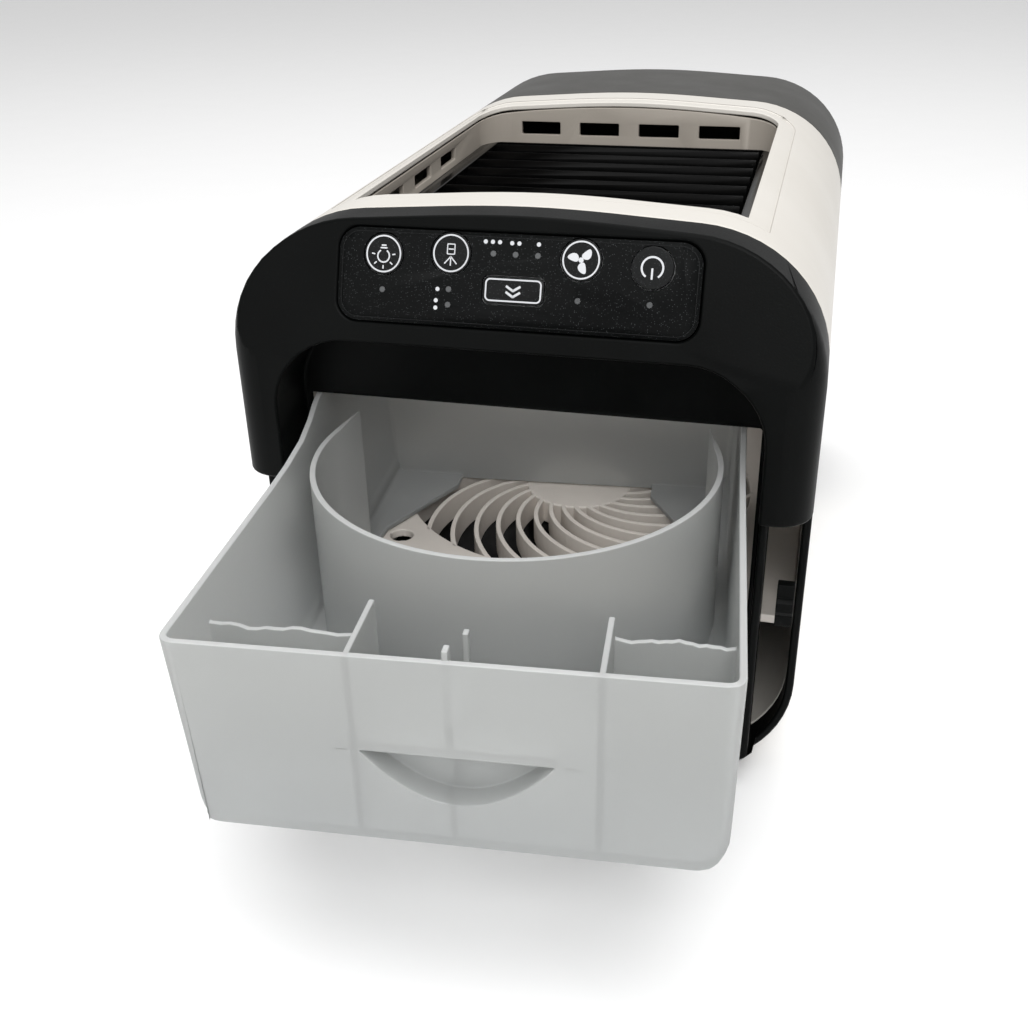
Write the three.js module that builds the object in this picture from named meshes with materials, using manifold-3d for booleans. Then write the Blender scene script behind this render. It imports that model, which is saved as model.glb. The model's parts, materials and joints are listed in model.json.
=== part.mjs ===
// Portable air cooler lying on its back: a rounded-square tube with a black top cover at -Y,
// a dark base cap at +Y, a louvred outlet facing +Z and a water tank that slides out along -Y.
// Millimetres, +Z up. Y = 0 is the plane of the tank mouth, Z = 0 the surface the cooler lies on.
import * as THREE from 'three';
import { mergeVertices } from 'three/addons/utils/BufferGeometryUtils.js';
import Module from 'manifold-3d';

const wasm = await Module();
wasm.setup();

// ---------------------------------------------------------------- driving dimensions
const GAP = 0.3;                                   // clearance between pieces that touch
const BODY = { half: 85, top: 180, corner: 37, arch: 3, wall: 2.5 };
const SEAM_FRONT = 5.8, SEAM_BACK = 193.4, CAP_END = 266;
const COVER = { front: -20.5, skirt: 101, inset: 2.5, round: 10, back: -12, step: -4 };
const SLOPE = { y: -7.5, z: 175.6, angle: 20.7 * Math.PI / 180 };   // top edge of the panel
const PANEL = { half: 50.5, height: 25.5, corner: 6, thick: 1.2 };
const MOUTH = { half: 68.7, top: 121, bottom: 55.5 };
const LID_SEAT = { half: 70.5, top: 145.7, corner: 22 };
const OUTLET = { half: 59, y0: 23.6, y1: 174, corner: 12 };
const VANE = { count: 10, first: 39, pitch: 14, chord: 13, thick: 1.8, half: 52.5, z: 157 };
const CRANK = 5;                                   // crank radius of the louvre link
const GUARD = { y: 79.3, top: 57.6, thick: 3, depth: 9, hub: 19.5, radius: 63.4, vanes: 26, curl: 1.05 };
const FAN = { side: 120, height: 25, bore: 58, screw: 52.5, hub: 19.4, tip: 56, blades: 7 };
const TANK = { half: 66, front: -115.5, back: 78, floor: 58.2, rim: 111, wall: 1.8, ring: 60, ringY: -11 };
const TANK_SKEW = { x: -1.5, turn: 5 * Math.PI / 180 };             // the tank hangs askew in its mouth
const LINER_HALF = 82.2;                           // half the width between the shell's inner sides

// ---------------------------------------------------------------- geometry helpers
const toSolid = (geometry) => {
  const bare = geometry.clone();
  bare.deleteAttribute('normal');
  bare.deleteAttribute('uv');
  const merged = mergeVertices(bare, 1e-4);
  return new wasm.Manifold(new wasm.Mesh({
    numProp: 3,
    vertProperties: new Float32Array(merged.attributes.position.array),
    triVerts: new Uint32Array(merged.index.array),
  }));
};
const toGeometry = (solid) => {
  const mesh = solid.getMesh();
  const geometry = new THREE.BufferGeometry();
  geometry.setAttribute('position', new THREE.BufferAttribute(new Float32Array(mesh.vertProperties), 3));
  geometry.setIndex(new THREE.BufferAttribute(new Uint32Array(mesh.triVerts), 1));
  return geometry;
};
const box = (x0, x1, y0, y1, z0, z1) =>
  toSolid(new THREE.BoxGeometry(x1 - x0, y1 - y0, z1 - z0)
    .translate((x0 + x1) / 2, (y0 + y1) / 2, (z0 + z1) / 2));
const rodZ = (x, y, z0, z1, radius, sides = 16) =>
  toSolid(new THREE.CylinderGeometry(radius, radius, z1 - z0, sides)
    .rotateX(Math.PI / 2).translate(x, y, (z0 + z1) / 2));
const rodY = (x, z, y0, y1, radius, sides = 16) =>
  toSolid(new THREE.CylinderGeometry(radius, radius, y1 - y0, sides).translate(x, (y0 + y1) / 2, z));
const rodX = (y, z, x0, x1, radius, sides = 10) =>
  toSolid(new THREE.CylinderGeometry(radius, radius, x1 - x0, sides)
    .rotateZ(Math.PI / 2).translate((x0 + x1) / 2, y, z));
// a shape drawn in (x, z), swept along Y from y0 to y1
const prismY = (shape, y0, y1, segments = 8) =>
  toSolid(new THREE.ExtrudeGeometry(shape, { depth: y1 - y0, bevelEnabled: false, curveSegments: segments })
    .rotateX(Math.PI / 2).translate(0, y1, 0));
// a shape drawn in (x, y), swept along Z from z0 to z1
const prismZ = (shape, z0, z1, segments = 8) =>
  toSolid(new THREE.ExtrudeGeometry(shape, { depth: z1 - z0, bevelEnabled: false, curveSegments: segments })
    .translate(0, 0, z0));
const roundRect = (x0, x1, y0, y1, r) => {
  const s = new THREE.Shape();
  s.moveTo(x0 + r, y0).lineTo(x1 - r, y0).absarc(x1 - r, y0 + r, r, -Math.PI / 2, 0);
  s.lineTo(x1, y1 - r).absarc(x1 - r, y1 - r, r, 0, Math.PI / 2);
  s.lineTo(x0 + r, y1).absarc(x0 + r, y1 - r, r, Math.PI / 2, Math.PI);
  s.lineTo(x0, y0 + r).absarc(x0 + r, y0 + r, r, Math.PI, Math.PI * 1.5);
  return s;
};
const join = (...solids) => solids.reduce((a, b) => a.add(b));
const cut = (solid, ...tools) => tools.reduce((a, b) => a.subtract(b), solid);

// ---------------------------------------------------------------- group and materials
const group = new THREE.Group();
const material = (color, roughness, metalness = 0) =>
  new THREE.MeshStandardMaterial({ color, roughness, metalness });
const LOOK = {
  shell: material(0xe9e4dc, 0.45), black: material(0x0e1011, 0.42), panel: material(0x1a1c1f, 0.35),
  base: material(0x3a3c3e, 0.5), liner: material(0xd9d2c8, 0.55), gloss: material(0x0a0a0b, 0.25),
  tank: material(0xdfe3e4, 0.3), blade: material(0x151617, 0.4), steel: material(0xa9abad, 0.35, 1),
  board: material(0x1f5a37, 0.5), rubber: material(0x202022, 0.9), lens: material(0xcfd3d6, 0.2),
  copper: material(0xa8683a, 0.4, 1),
};
const add = (name, solid, look, parent = group) => {
  const mesh = new THREE.Mesh(toGeometry(solid), look);
  mesh.name = name;
  parent.add(mesh);
  return mesh;
};

// ---------------------------------------------------------------- body section
// rounded square with a flat back (Z = 0) and a slightly arched front, drawn in (x, z)
const bodySection = (inset = 0) => {
  const { half, top, corner, arch } = BODY;
  const r = corner - inset, cx = half - corner, low = corner, high = top - arch - corner;
  const lean = 2 * arch / cx;               // slope of the arch where it meets the corner
  const end = Math.PI / 2 - Math.atan(lean);
  const s = new THREE.Shape();
  s.moveTo(-cx, inset).lineTo(cx, inset).absarc(cx, low, r, -Math.PI / 2, 0);
  s.lineTo(half - inset, high).absarc(cx, high, r, 0, end);
  const x = cx + r * Math.cos(end), z = high + r * Math.sin(end);
  s.quadraticCurveTo(0, z + lean * x, -x, z);
  s.absarc(-cx, high, r, Math.PI - end, Math.PI);
  s.lineTo(-half + inset, low).absarc(-cx, low, r, Math.PI, Math.PI * 1.5);
  return s;
};

// outlet opening, square at the front and round at its back corners, grown all round by grow
const outletPrism = (grow, z0, z1) => {
  const half = OUTLET.half + grow, y0 = OUTLET.y0 - grow, y1 = OUTLET.y1 + grow;
  return prismZ(roundRect(-half, half, y0, y1, OUTLET.corner + grow), z0, z1)
    .add(box(-half, half, y0, y0 + 30, z0, z1));
};

// ---------------------------------------------------------------- main shell
const inletRadius = 60;
const mainShell = cut(
  prismY(bodySection(), SEAM_FRONT, SEAM_BACK),
  prismY(bodySection(BODY.wall), SEAM_FRONT - 1, SEAM_BACK + 1),
  outletPrism(0, 150, 200),
  rodZ(0, GUARD.y, -1, 10, inletRadius, 32),
);
add('main_shell', mainShell, LOOK.shell);

// ---------------------------------------------------------------- top cover
// everything behind the sloped front: local x across, local y down the slope, z out of it
const slopeFrame = new THREE.Matrix4().makeRotationX(Math.PI / 2 - SLOPE.angle)
  .setPosition(0, SLOPE.y, SLOPE.z);
const onSlope = (geometry) => toSolid(geometry.applyMatrix4(slopeFrame));
const slopeBox = (x0, x1, s0, s1, d0, d1) =>
  onSlope(new THREE.BoxGeometry(x1 - x0, s1 - s0, d1 - d0)
    .translate((x0 + x1) / 2, -(s0 + s1) / 2, (d0 + d1) / 2));
const slopeRod = (x, s, d0, d1, radius, sides = 18) =>
  onSlope(new THREE.CylinderGeometry(radius, radius, d1 - d0, sides)
    .rotateX(Math.PI / 2).translate(x, -s, (d0 + d1) / 2));
const slopePrism = (shape, d0, d1) =>
  onSlope(new THREE.ExtrudeGeometry(shape, { depth: d1 - d0, bevelEnabled: false, curveSegments: 5 })
    .translate(0, 0, d0));
const aboveSlope = (depth) => slopeBox(-200, 200, -200, 200, -depth, 200);
const lidSeat = (grow, y0, y1) => prismY(
  roundRect(-LID_SEAT.half - grow, LID_SEAT.half + grow, -60, LID_SEAT.top + grow, LID_SEAT.corner + grow),
  y0, y1);

const coverBack = SEAM_FRONT - GAP;
const RECESS = 1.9;                               // depth of the panel's seat, with room for a pressed key
const roundedCover = toSolid(new THREE.ExtrudeGeometry(bodySection(COVER.round), {
  depth: coverBack - COVER.front - COVER.round, bevelEnabled: true, curveSegments: 8,
  bevelThickness: COVER.round, bevelSize: COVER.round, bevelSegments: 2,
}).rotateX(Math.PI / 2).translate(0, coverBack, 0))
  .intersect(box(-200, 200, -200, coverBack, -10, 300));
const lowerSkirt = cut(box(-100, 100, -100, COVER.step, -10, COVER.skirt),
  prismY(bodySection(COVER.inset), -90, 1));
const topCover = cut(roundedCover,
  aboveSlope(0),
  box(-200, 200, -200, COVER.back, -10, COVER.skirt),
  lowerSkirt,
  lidSeat(0, -60, 0).intersect(box(-100, 100, -60, 0, MOUTH.bottom - 12, 200)),
  cut(prismY(bodySection(BODY.wall), 2.5, SEAM_FRONT + 5), aboveSlope(3)),
  cut(prismY(bodySection(BODY.wall), -14, 3), aboveSlope(3), lidSeat(2.5, -60, 4)),
  box(-MOUTH.half, MOUTH.half, -60, 20, MOUTH.bottom, MOUTH.top),
  slopePrism(roundRect(-PANEL.half - GAP, PANEL.half + GAP, -PANEL.height - GAP, GAP, PANEL.corner),
    -RECESS, 5),
  slopeBox(-PANEL.half + 4, PANEL.half - 4, 1.6, PANEL.height - 1.6, -6, 1),
);
add('top_cover', topCover, LOOK.black);

// ---------------------------------------------------------------- base cap
const baseStart = SEAM_BACK + GAP;
const socketX = 35, socketY = 215;
const baseCap = cut(
  toSolid(new THREE.ExtrudeGeometry(bodySection(COVER.round), {
    depth: CAP_END - baseStart - COVER.round, bevelEnabled: true, curveSegments: 8,
    bevelThickness: COVER.round, bevelSize: COVER.round, bevelSegments: 2,
  }).rotateX(Math.PI / 2).translate(0, CAP_END - COVER.round, 0))
    .intersect(box(-200, 200, baseStart, 300, -10, 300)),
  prismY(bodySection(BODY.wall + 6), baseStart - 1, CAP_END - 3),
  prismY(bodySection(BODY.wall), baseStart - 1, CAP_END - 9),
  box(socketX - 6, socketX + 6, socketY - 4, socketY + 4, -1, 5),
  ...[-1, 1].flatMap((sx) => [40, 132].map((z) => rodY(sx * 50, z, CAP_END - 5, CAP_END + 1, 1.8, 10))),
);
add('base_cap', baseCap, LOOK.base);

const feet = new THREE.Group();
group.add(feet);
for (const [i, [x, z]] of [[-55, 22], [55, 22], [-55, 150], [55, 150]].entries()) {
  add(`rubber_foot_${i + 1}`, rodY(x, z, CAP_END + 0.05, CAP_END + 2, 6, 16), LOOK.rubber, feet);
}
for (const [i, [x, z]] of [[-50, 40], [50, 40], [-50, 132], [50, 132]].entries()) {
  const screw = join(rodY(x, z, CAP_END - 10, CAP_END + 0.4, 1.4, 10),
    rodY(x, z, CAP_END + 0.3, CAP_END + 1.6, 3, 14));
  add(`base_screw_${i + 1}`, screw, LOOK.steel);
}

// ---------------------------------------------------------------- control panel and its buttons
const KEY = { radius: 5.7, travel: 0.5 };
const KEYS = [
  { name: 'button_light', x: -37.5, s: 7 }, { name: 'button_spray', x: -18.1, s: 5.9 },
  { name: 'button_fan', x: 18.1, s: 5.9 }, { name: 'button_power', x: 37.4, s: 7 },
];
const BOOST = { x: 0, s: 15, half: 8.6, tall: 7.4, corner: 2 };
const LIGHTS = [[-37.5, 16.7], [-18.3, 15.6], [-18.3, 19.8], [-6.2, 5.4], [0, 5.4], [6.2, 5.4],
  [17.9, 16.7], [37.3, 16.6]];
const boostShape = (grow) => roundRect(BOOST.x - BOOST.half - grow, BOOST.x + BOOST.half + grow,
  -BOOST.s - BOOST.tall / 2 - grow, -BOOST.s + BOOST.tall / 2 + grow, BOOST.corner);
const panel = cut(
  slopePrism(roundRect(-PANEL.half, PANEL.half, -PANEL.height, 0, PANEL.corner), -PANEL.thick, 0),
  ...KEYS.map((k) => slopeRod(k.x, k.s, -3, 3, KEY.radius + GAP)),
  slopePrism(boostShape(GAP), -3, 3),
  ...LIGHTS.map(([x, s]) => slopeRod(x, s, -3, 3, 0.9, 8)),
);
add('control_panel', panel, LOOK.panel);
for (const key of KEYS) {
  const proud = key.name === 'button_power' ? 0.9 : 0.1;
  const stem = slopeRod(key.x, key.s, -4.2, -PANEL.thick + 0.1, 2.2, 12);
  add(key.name, slopeRod(key.x, key.s, -PANEL.thick, proud, KEY.radius).add(stem), LOOK.panel);
}
add('button_boost', slopePrism(boostShape(0), -PANEL.thick, 0.1)
  .add(slopeRod(BOOST.x, BOOST.s, -4.2, -PANEL.thick + 0.1, 2.2, 12)), LOOK.panel);
const lightGuide = join(
  cut(slopeBox(-PANEL.half + 5, PANEL.half - 5, 2.2, PANEL.height - 2.2, -3.4, -2.4),
    ...KEYS.map((k) => slopeRod(k.x, k.s, -5, 0, 3.4, 16)), slopeRod(BOOST.x, BOOST.s, -5, 0, 3.4, 16)),
  ...LIGHTS.map(([x, s]) => slopeRod(x, s, -2.5, -0.1, 0.6, 8)),
);
add('indicator_light_guide', lightGuide, LOOK.lens);
add('button_board', cut(slopeBox(-46, 46, 2.2, 23.4, -7.4, -5.8), slopeRod(-42, 20, -9, 0, 1.2, 10)),
  LOOK.board);
const domes = join(slopeBox(-44, 44, 3, 22, -5.7, -5.2),
  ...[...KEYS, BOOST].map((k) => slopeRod(k.x, k.s, -5.3, -4.9, 2.6, 16)));
add('touch_dome_sheet', domes, LOOK.lens);

// ---------------------------------------------------------------- outlet well, frame and vanes
const wellTop = prismY(bodySection(BODY.wall + GAP), 0, 200);
const wellWall = 1.8;
const windows = [];
for (const x of [-36, -12, 12, 36]) windows.push(box(x - 8, x + 8, OUTLET.y1 - 1, OUTLET.y1 + 4, 166, 171));
for (const y of [60, 90, 120]) {
  windows.push(box(-64, -58, y - 9, y + 9, 165, 169), box(58, 64, y - 9, y + 9, 165, 169));
}
const outletWell = cut(
  join(outletPrism(wellWall, 124, 200).intersect(wellTop),
    box(-LINER_HALF, LINER_HALF, SEAM_FRONT + 1, 188, 124, 126)),
  outletPrism(0, 120, 200), ...windows);
add('outlet_well', outletWell, LOOK.liner);

const frameHalf = OUTLET.half - GAP, frameY0 = OUTLET.y0 + GAP, frameY1 = 172.5, farLip = 1.6;
const vaneY = Array.from({ length: VANE.count }, (_, i) => VANE.first + VANE.pitch * i);
const louvreFrame = cut(
  outletPrism(-GAP, VANE.z - 6, VANE.z + 6).intersect(box(-frameHalf, frameHalf, 0, frameY1, 0, 200)),
  box(-VANE.half - 1, VANE.half + 1, frameY0 + 5, frameY1 - farLip, VANE.z - 10, VANE.z + 10),
  ...vaneY.map((y) => rodX(y, VANE.z, -frameHalf + 2, frameHalf - 2, 1.6)),
);
add('louvre_frame', louvreFrame, LOOK.gloss);
const vaneSection = new THREE.Shape();
vaneSection.moveTo(-VANE.thick / 2, 0)
  .quadraticCurveTo(-VANE.thick / 2, -VANE.chord / 3, 0, -VANE.chord / 2)
  .quadraticCurveTo(VANE.thick / 2, -VANE.chord / 3, VANE.thick / 2, 0)
  .quadraticCurveTo(VANE.thick / 2, VANE.chord / 3, 0, VANE.chord / 2)
  .quadraticCurveTo(-VANE.thick / 2, VANE.chord / 3, -VANE.thick / 2, 0);
const linkX = 46, linkEnd = 2.7;                   // the link bar's place, and its reach past the last pin
const vaneSolid = join(
  cut(toSolid(new THREE.ExtrudeGeometry(vaneSection,
    { depth: 2 * VANE.half, bevelEnabled: false, curveSegments: 2 })
    .rotateX(Math.PI / 2).rotateZ(Math.PI / 2).translate(-VANE.half, 0, 0)),
  box(linkX - 2.5, linkX + 2.5, -3, 3, -VANE.chord, -1.2)),
  rodX(0, -CRANK, linkX - 3, linkX + 3, 0.8, 8),
  rodX(0, 0, -frameHalf + 2.5, frameHalf - 2.5, 1.2, 8),
);
vaneY.forEach((y, i) => {
  add(`louvre_vane_${i + 1}`, vaneSolid, LOOK.gloss).position.set(0, y, VANE.z);
});
const linkBar = cut(
  box(linkX - 0.8, linkX + 0.8, vaneY[0] - linkEnd, vaneY.at(-1) + linkEnd,
    VANE.z - CRANK - 2.7, VANE.z - CRANK + 2.7),
  ...vaneY.map((y) => rodX(y, VANE.z - CRANK, linkX - 2, linkX + 2, 1.7, 10)));
add('louvre_link_bar', linkBar, LOOK.gloss);

// ---------------------------------------------------------------- stop wall and fan guard
const stopWall = cut(
  box(-LINER_HALF, LINER_HALF, 186, 188, GUARD.top + GAP, 124 - GAP),
  ...[-1, 1].map((sx) => rodY(sx * 48, 86, 180, 195, 7.4, 20)));
add('tank_stop_wall', stopWall, LOOK.liner);

const guardBottom = GUARD.top - GUARD.depth;
const guardVane = (index) => {
  const start = index / GUARD.vanes * 2 * Math.PI, steps = 5, width = 1.9;
  const ahead = [], behind = [];
  for (let i = 0; i <= steps; i += 1) {
    const t = i / steps, radius = GUARD.hub - 1 + (GUARD.radius + 1.5 - GUARD.hub) * t;
    const angle = start + GUARD.curl * t;
    const side = width / 2 / radius * (1 + 0.5 * t);
    ahead.push(new THREE.Vector2(radius * Math.cos(angle + side), radius * Math.sin(angle + side)));
    behind.unshift(new THREE.Vector2(radius * Math.cos(angle - side), radius * Math.sin(angle - side)));
  }
  return prismZ(new THREE.Shape([...behind, ...ahead].reverse()), guardBottom, GUARD.top)
    .translate([0, GUARD.y, 0]);
};
const corners = [-1, 1].flatMap((sx) => [-1, 1].map((sy) => [sx * FAN.screw, GUARD.y + sy * FAN.screw]));
const guard = join(
  cut(join(box(-LINER_HALF, LINER_HALF, 3, 188, GUARD.top - GUARD.thick, GUARD.top),
    rodZ(0, GUARD.y, guardBottom, GUARD.top - 1, GUARD.radius + 2, 48)),
  rodZ(0, GUARD.y, 40, 70, GUARD.radius, 48),
  ...corners.map(([x, y]) => rodZ(x, y, 40, 70, 3.9, 12))),
  ...Array.from({ length: GUARD.vanes }, (_, i) => guardVane(i)),
  rodZ(0, GUARD.y, guardBottom, GUARD.top, GUARD.hub, 32),
);
add('fan_guard', guard, LOOK.liner);

// ---------------------------------------------------------------- fan
const fanTop = guardBottom - 0.6, fanBottom = fanTop - FAN.height;
const h = FAN.side / 2;
const fanFrame = join(
  cut(prismZ(roundRect(-h, h, GUARD.y - h, GUARD.y + h, 6), fanBottom, fanTop),
    rodZ(0, GUARD.y, 0, 90, FAN.bore, 48),
    ...corners.map(([x, y]) => rodZ(x, y, 0, 90, 2.2, 10))),
  rodZ(0, GUARD.y, fanBottom, fanBottom + 2, 18, 24),
  box(-FAN.bore - 1, FAN.bore + 1, GUARD.y - 2.5, GUARD.y + 2.5, fanBottom, fanBottom + 2),
  box(-2.5, 2.5, GUARD.y - FAN.bore - 1, GUARD.y + FAN.bore + 1, fanBottom, fanBottom + 2),
);
add('fan_frame', cut(fanFrame, rodZ(0, GUARD.y, 0, fanBottom + 5, 3.4, 16)), LOOK.black);
const hubFloor = fanBottom + 4, hubTop = fanTop - 1;
const stator = cut(join(rodZ(0, GUARD.y, fanBottom + 2.3, fanBottom + 4, 14, 20),
  rodZ(0, GUARD.y, fanBottom + 3.5, hubTop - 4, 11, 20)), rodZ(0, GUARD.y, 0, 90, 3.4, 16));
add('fan_motor', stator, LOOK.copper);
add('fan_bearing', cut(rodZ(0, GUARD.y, fanBottom, hubTop - 5, 3.1, 16), rodZ(0, GUARD.y, 0, 90, 1.5, 12)),
  LOOK.steel);
const bladeSolid = (index) => {
  const start = index / FAN.blades * 2 * Math.PI, span = 0.62, steps = 4, lift = 13;
  const rim = (radius, from, to, skew) => Array.from({ length: steps + 1 }, (_, i) => {
    const a = start + skew + from + (to - from) * i / steps;
    return new THREE.Vector2(radius * Math.cos(a), radius * Math.sin(a));
  });
  const outline = [...rim(FAN.tip, -span / 2, span / 2, 0.18), ...rim(FAN.hub - 1, span / 2, -span / 2, 0)];
  const geometry = new THREE.ExtrudeGeometry(new THREE.Shape(outline), { depth: 1.6, bevelEnabled: false });
  const place = geometry.attributes.position;
  for (let i = 0; i < place.count; i += 1) {
    const turn = Math.atan2(place.getY(i), place.getX(i)) - start;
    const wrapped = turn - 2 * Math.PI * Math.round(turn / (2 * Math.PI));
    place.setZ(i, place.getZ(i) + hubFloor + 9 - wrapped / span * lift);
  }
  return toSolid(geometry).translate([0, GUARD.y, 0]);
};
const rotor = join(
  cut(rodZ(0, GUARD.y, hubFloor, hubTop, FAN.hub, 32), rodZ(0, GUARD.y, hubFloor - 1, hubTop - 2, 15.5, 24)),
  rodZ(0, GUARD.y, fanBottom + 1, hubTop - 1, 1.2, 12),
  ...Array.from({ length: FAN.blades }, (_, i) => bladeSolid(i)),
);
add('fan_rotor', rotor, LOOK.blade);
for (const [i, [x, y]] of corners.entries()) {
  add(`fan_screw_${i + 1}`, join(rodZ(x, y, fanBottom - 2.4, fanBottom - GAP, 3.6, 14),
    rodZ(x, y, fanBottom - 1, GUARD.top - GUARD.thick, 1.7, 10)), LOOK.steel);
}

// ---------------------------------------------------------------- inlet grille, boards, socket
const grilleRings = [15, 28, 41].map((r) =>
  cut(rodZ(0, GUARD.y, 1.3, 2.7, r + 1.2, 24), rodZ(0, GUARD.y, 0, 4, r - 1.2, 24)));
const inletGrille = join(
  cut(rodZ(0, GUARD.y, 1, 4, inletRadius - GAP, 32), rodZ(0, GUARD.y, 0, 5, inletRadius - 6, 32)),
  ...grilleRings,
  rodZ(0, GUARD.y, 1.2, 2.8, 5, 16),
  box(-inletRadius + 3, inletRadius - 3, GUARD.y - 1.2, GUARD.y + 1.2, 1.4, 2.6),
  box(-1.1, 1.1, GUARD.y - inletRadius + 3, GUARD.y + inletRadius - 3, 1.5, 2.5),
);
add('inlet_grille', inletGrille, LOOK.shell);
add('main_board', cut(box(-45, 45, 150, 190, 20, 21.6),
  ...[-1, 1].map((sx) => rodZ(sx * 40, 155, 15, 25, 1.6, 10))), LOOK.board);
add('power_socket', cut(box(socketX - 5.5, socketX + 5.5, socketY - 3.5, socketY + 3.5, 0.6, 11),
  box(socketX - 4, socketX + 4, socketY - 1.5, socketY + 1.5, 0, 8)), LOOK.steel);

// ---------------------------------------------------------------- mist makers behind the tank
for (const [side, sx] of [['left', -1], ['right', 1]]) {
  const holder = cut(join(rodY(sx * 48, 86, 184, 191, 7, 20), rodY(sx * 48, 86, 188.4, 191, 10, 20)),
    rodY(sx * 48, 86, 180, 200, 3.5, 16), rodY(sx * 48, 86, 183, 186.5, 5.6, 20));
  add(`mist_holder_${side}`, holder, LOOK.rubber);
  add(`mist_disc_${side}`, rodY(sx * 48, 86, 185, 186.2, 5.2, 20), LOOK.steel);
}

// ---------------------------------------------------------------- lamp over the mouth, lid hinges
add('light_board', box(-40, 40, 8, 16, 133, 134.4), LOOK.board);
add('light_diffuser', cut(box(-42, 42, 7, 17, 127, 132.6), box(-40.5, 40.5, 8.5, 15.5, 128.5, 140)),
  LOOK.lens);
for (const [side, sx] of [['left', -1], ['right', 1]]) {
  add(`lid_hinge_${side}`, cut(join(
    box(sx * 82.3 - (sx < 0 ? 0 : 5), sx * 82.3 + (sx < 0 ? 5 : 0), -15.5, -12.3, 66, 80),
    rodX(-15, 73, sx < 0 ? -82.3 : 77.3, sx < 0 ? -77.3 : 82.3, 3, 14)),
  rodX(-15, 73, -100, 100, 1.3, 10)), LOOK.liner);
}

// ---------------------------------------------------------------- water tank
// drawn straight along Y, then hung a little askew in the mouth
const T = TANK;
const tankGroup = new THREE.Group();
tankGroup.position.set(TANK_SKEW.x, 0, 0);
tankGroup.rotation.z = TANK_SKEW.turn;
group.add(tankGroup);
// opening of the air passage: half a circle at the front, tapering to a flat wall at the back
const passage = (grow) => {
  const r = T.ring + grow, tilt = 0.21, s = new THREE.Shape();
  s.moveTo(-34 - grow, T.back + grow).lineTo(-34 - grow, 68 + grow / 2).lineTo(-52 - grow, 33 + grow / 2);
  s.lineTo(-r * Math.cos(tilt), T.ringY + r * Math.sin(tilt));
  s.absarc(0, T.ringY, r, Math.PI - tilt, 2 * Math.PI + tilt, false);
  s.lineTo(52 + grow, 33 + grow / 2).lineTo(34 + grow, 68 + grow / 2).lineTo(34 + grow, T.back + grow);
  return s;
};
// shoulder of a side wall: swings up just outside the mouth and stops the tank behind its upper edge
const shoulder = (x0, x1) => {
  const s = new THREE.Shape();
  s.moveTo(-40, T.rim - 1).lineTo(T.back, T.rim - 1).lineTo(T.back, 123.2).lineTo(17, 123.2);
  s.quadraticCurveTo(12, 122.6, 9.6, 120.4).quadraticCurveTo(4, 119.8, -3, 115.6);
  s.quadraticCurveTo(-12, T.rim, -40, T.rim);
  return toSolid(new THREE.ExtrudeGeometry(s, { depth: x1 - x0, bevelEnabled: false, curveSegments: 3 })
    .rotateX(Math.PI / 2).rotateZ(Math.PI / 2).translate(x0, 0, 0));
};
const shellOut = prismZ(roundRect(-T.half, T.half, T.front, T.back, 4), T.floor, T.rim);
const shellIn = prismZ(roundRect(-T.half + T.wall, T.half - T.wall, T.front + T.wall, T.back - T.wall, 2.6),
  T.floor + T.wall, T.rim + 1);
const ring = prismZ(passage(0), T.floor, T.rim, 20);
const air = prismZ(passage(-T.wall), T.floor - 1, T.rim + 1, 20);
const PLATE = { thick: 1.5, end: -91, left: -21.8, middle: 1, right: 35.4 };
const plate = (x, y0, y1, top) => box(x - PLATE.thick / 2, x + PLATE.thick / 2, y0, y1, T.floor + 1, top);
const baffle = (x0, x1, top) => box(x0, x1, PLATE.end - PLATE.thick, PLATE.end, T.floor + 1, top);
const plates = [
  plate(PLATE.left, T.front + 1, PLATE.end, 110.4), plate(PLATE.right, T.front + 1, PLATE.end, 110.4),
  plate(PLATE.middle, T.front + 1, PLATE.end, 92), plate(PLATE.middle, T.front + 1, T.front + 4, 113.5),
  plate(PLATE.middle, PLATE.end - 2.5, PLATE.end, 104),
  baffle(-T.half + 1, PLATE.left, 101), baffle(PLATE.right, T.half - 1, 105.5),
];
// half-moon finger pull: a cup pressed in from the front panel
const PULL = { x: 2.5, half: 22.8, top: 84.7, drop: 13.7, depth: 8 };
const halfMoon = (grow, y0, y1) => {
  const s = new THREE.Shape();
  s.moveTo(PULL.x - PULL.half - grow, PULL.top + grow);
  s.quadraticCurveTo(PULL.x, PULL.top - 2 * PULL.drop - 3 * grow,
    PULL.x + PULL.half + grow, PULL.top + grow);
  return prismY(s, y0, y1, 10);
};
const tank = cut(
  join(cut(shellOut, shellIn), ring, shoulder(-T.half, -T.half + T.wall), shoulder(T.half - T.wall, T.half),
    ...plates, halfMoon(1.6, T.front + 1, T.front + PULL.depth)),
  air, halfMoon(0, T.front - 1, T.front + PULL.depth - 1.6));
add('water_tank', tank, LOOK.tank, tankGroup);

export default group;
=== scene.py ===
"""Portable air cooler lying on its back, with its water tank drawn out of the top.

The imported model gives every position. Each sub-assembly below builds its own detailed
pieces in metres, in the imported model's frame: +Z away from the surface the cooler lies
on, -Y the way the tank slides out, X across.
"""

import json
import logging
import math
from collections.abc import Callable, Iterable, Sequence
from dataclasses import dataclass
from enum import Enum

import bmesh
import bpy
from mathutils import Matrix, Vector


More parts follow.
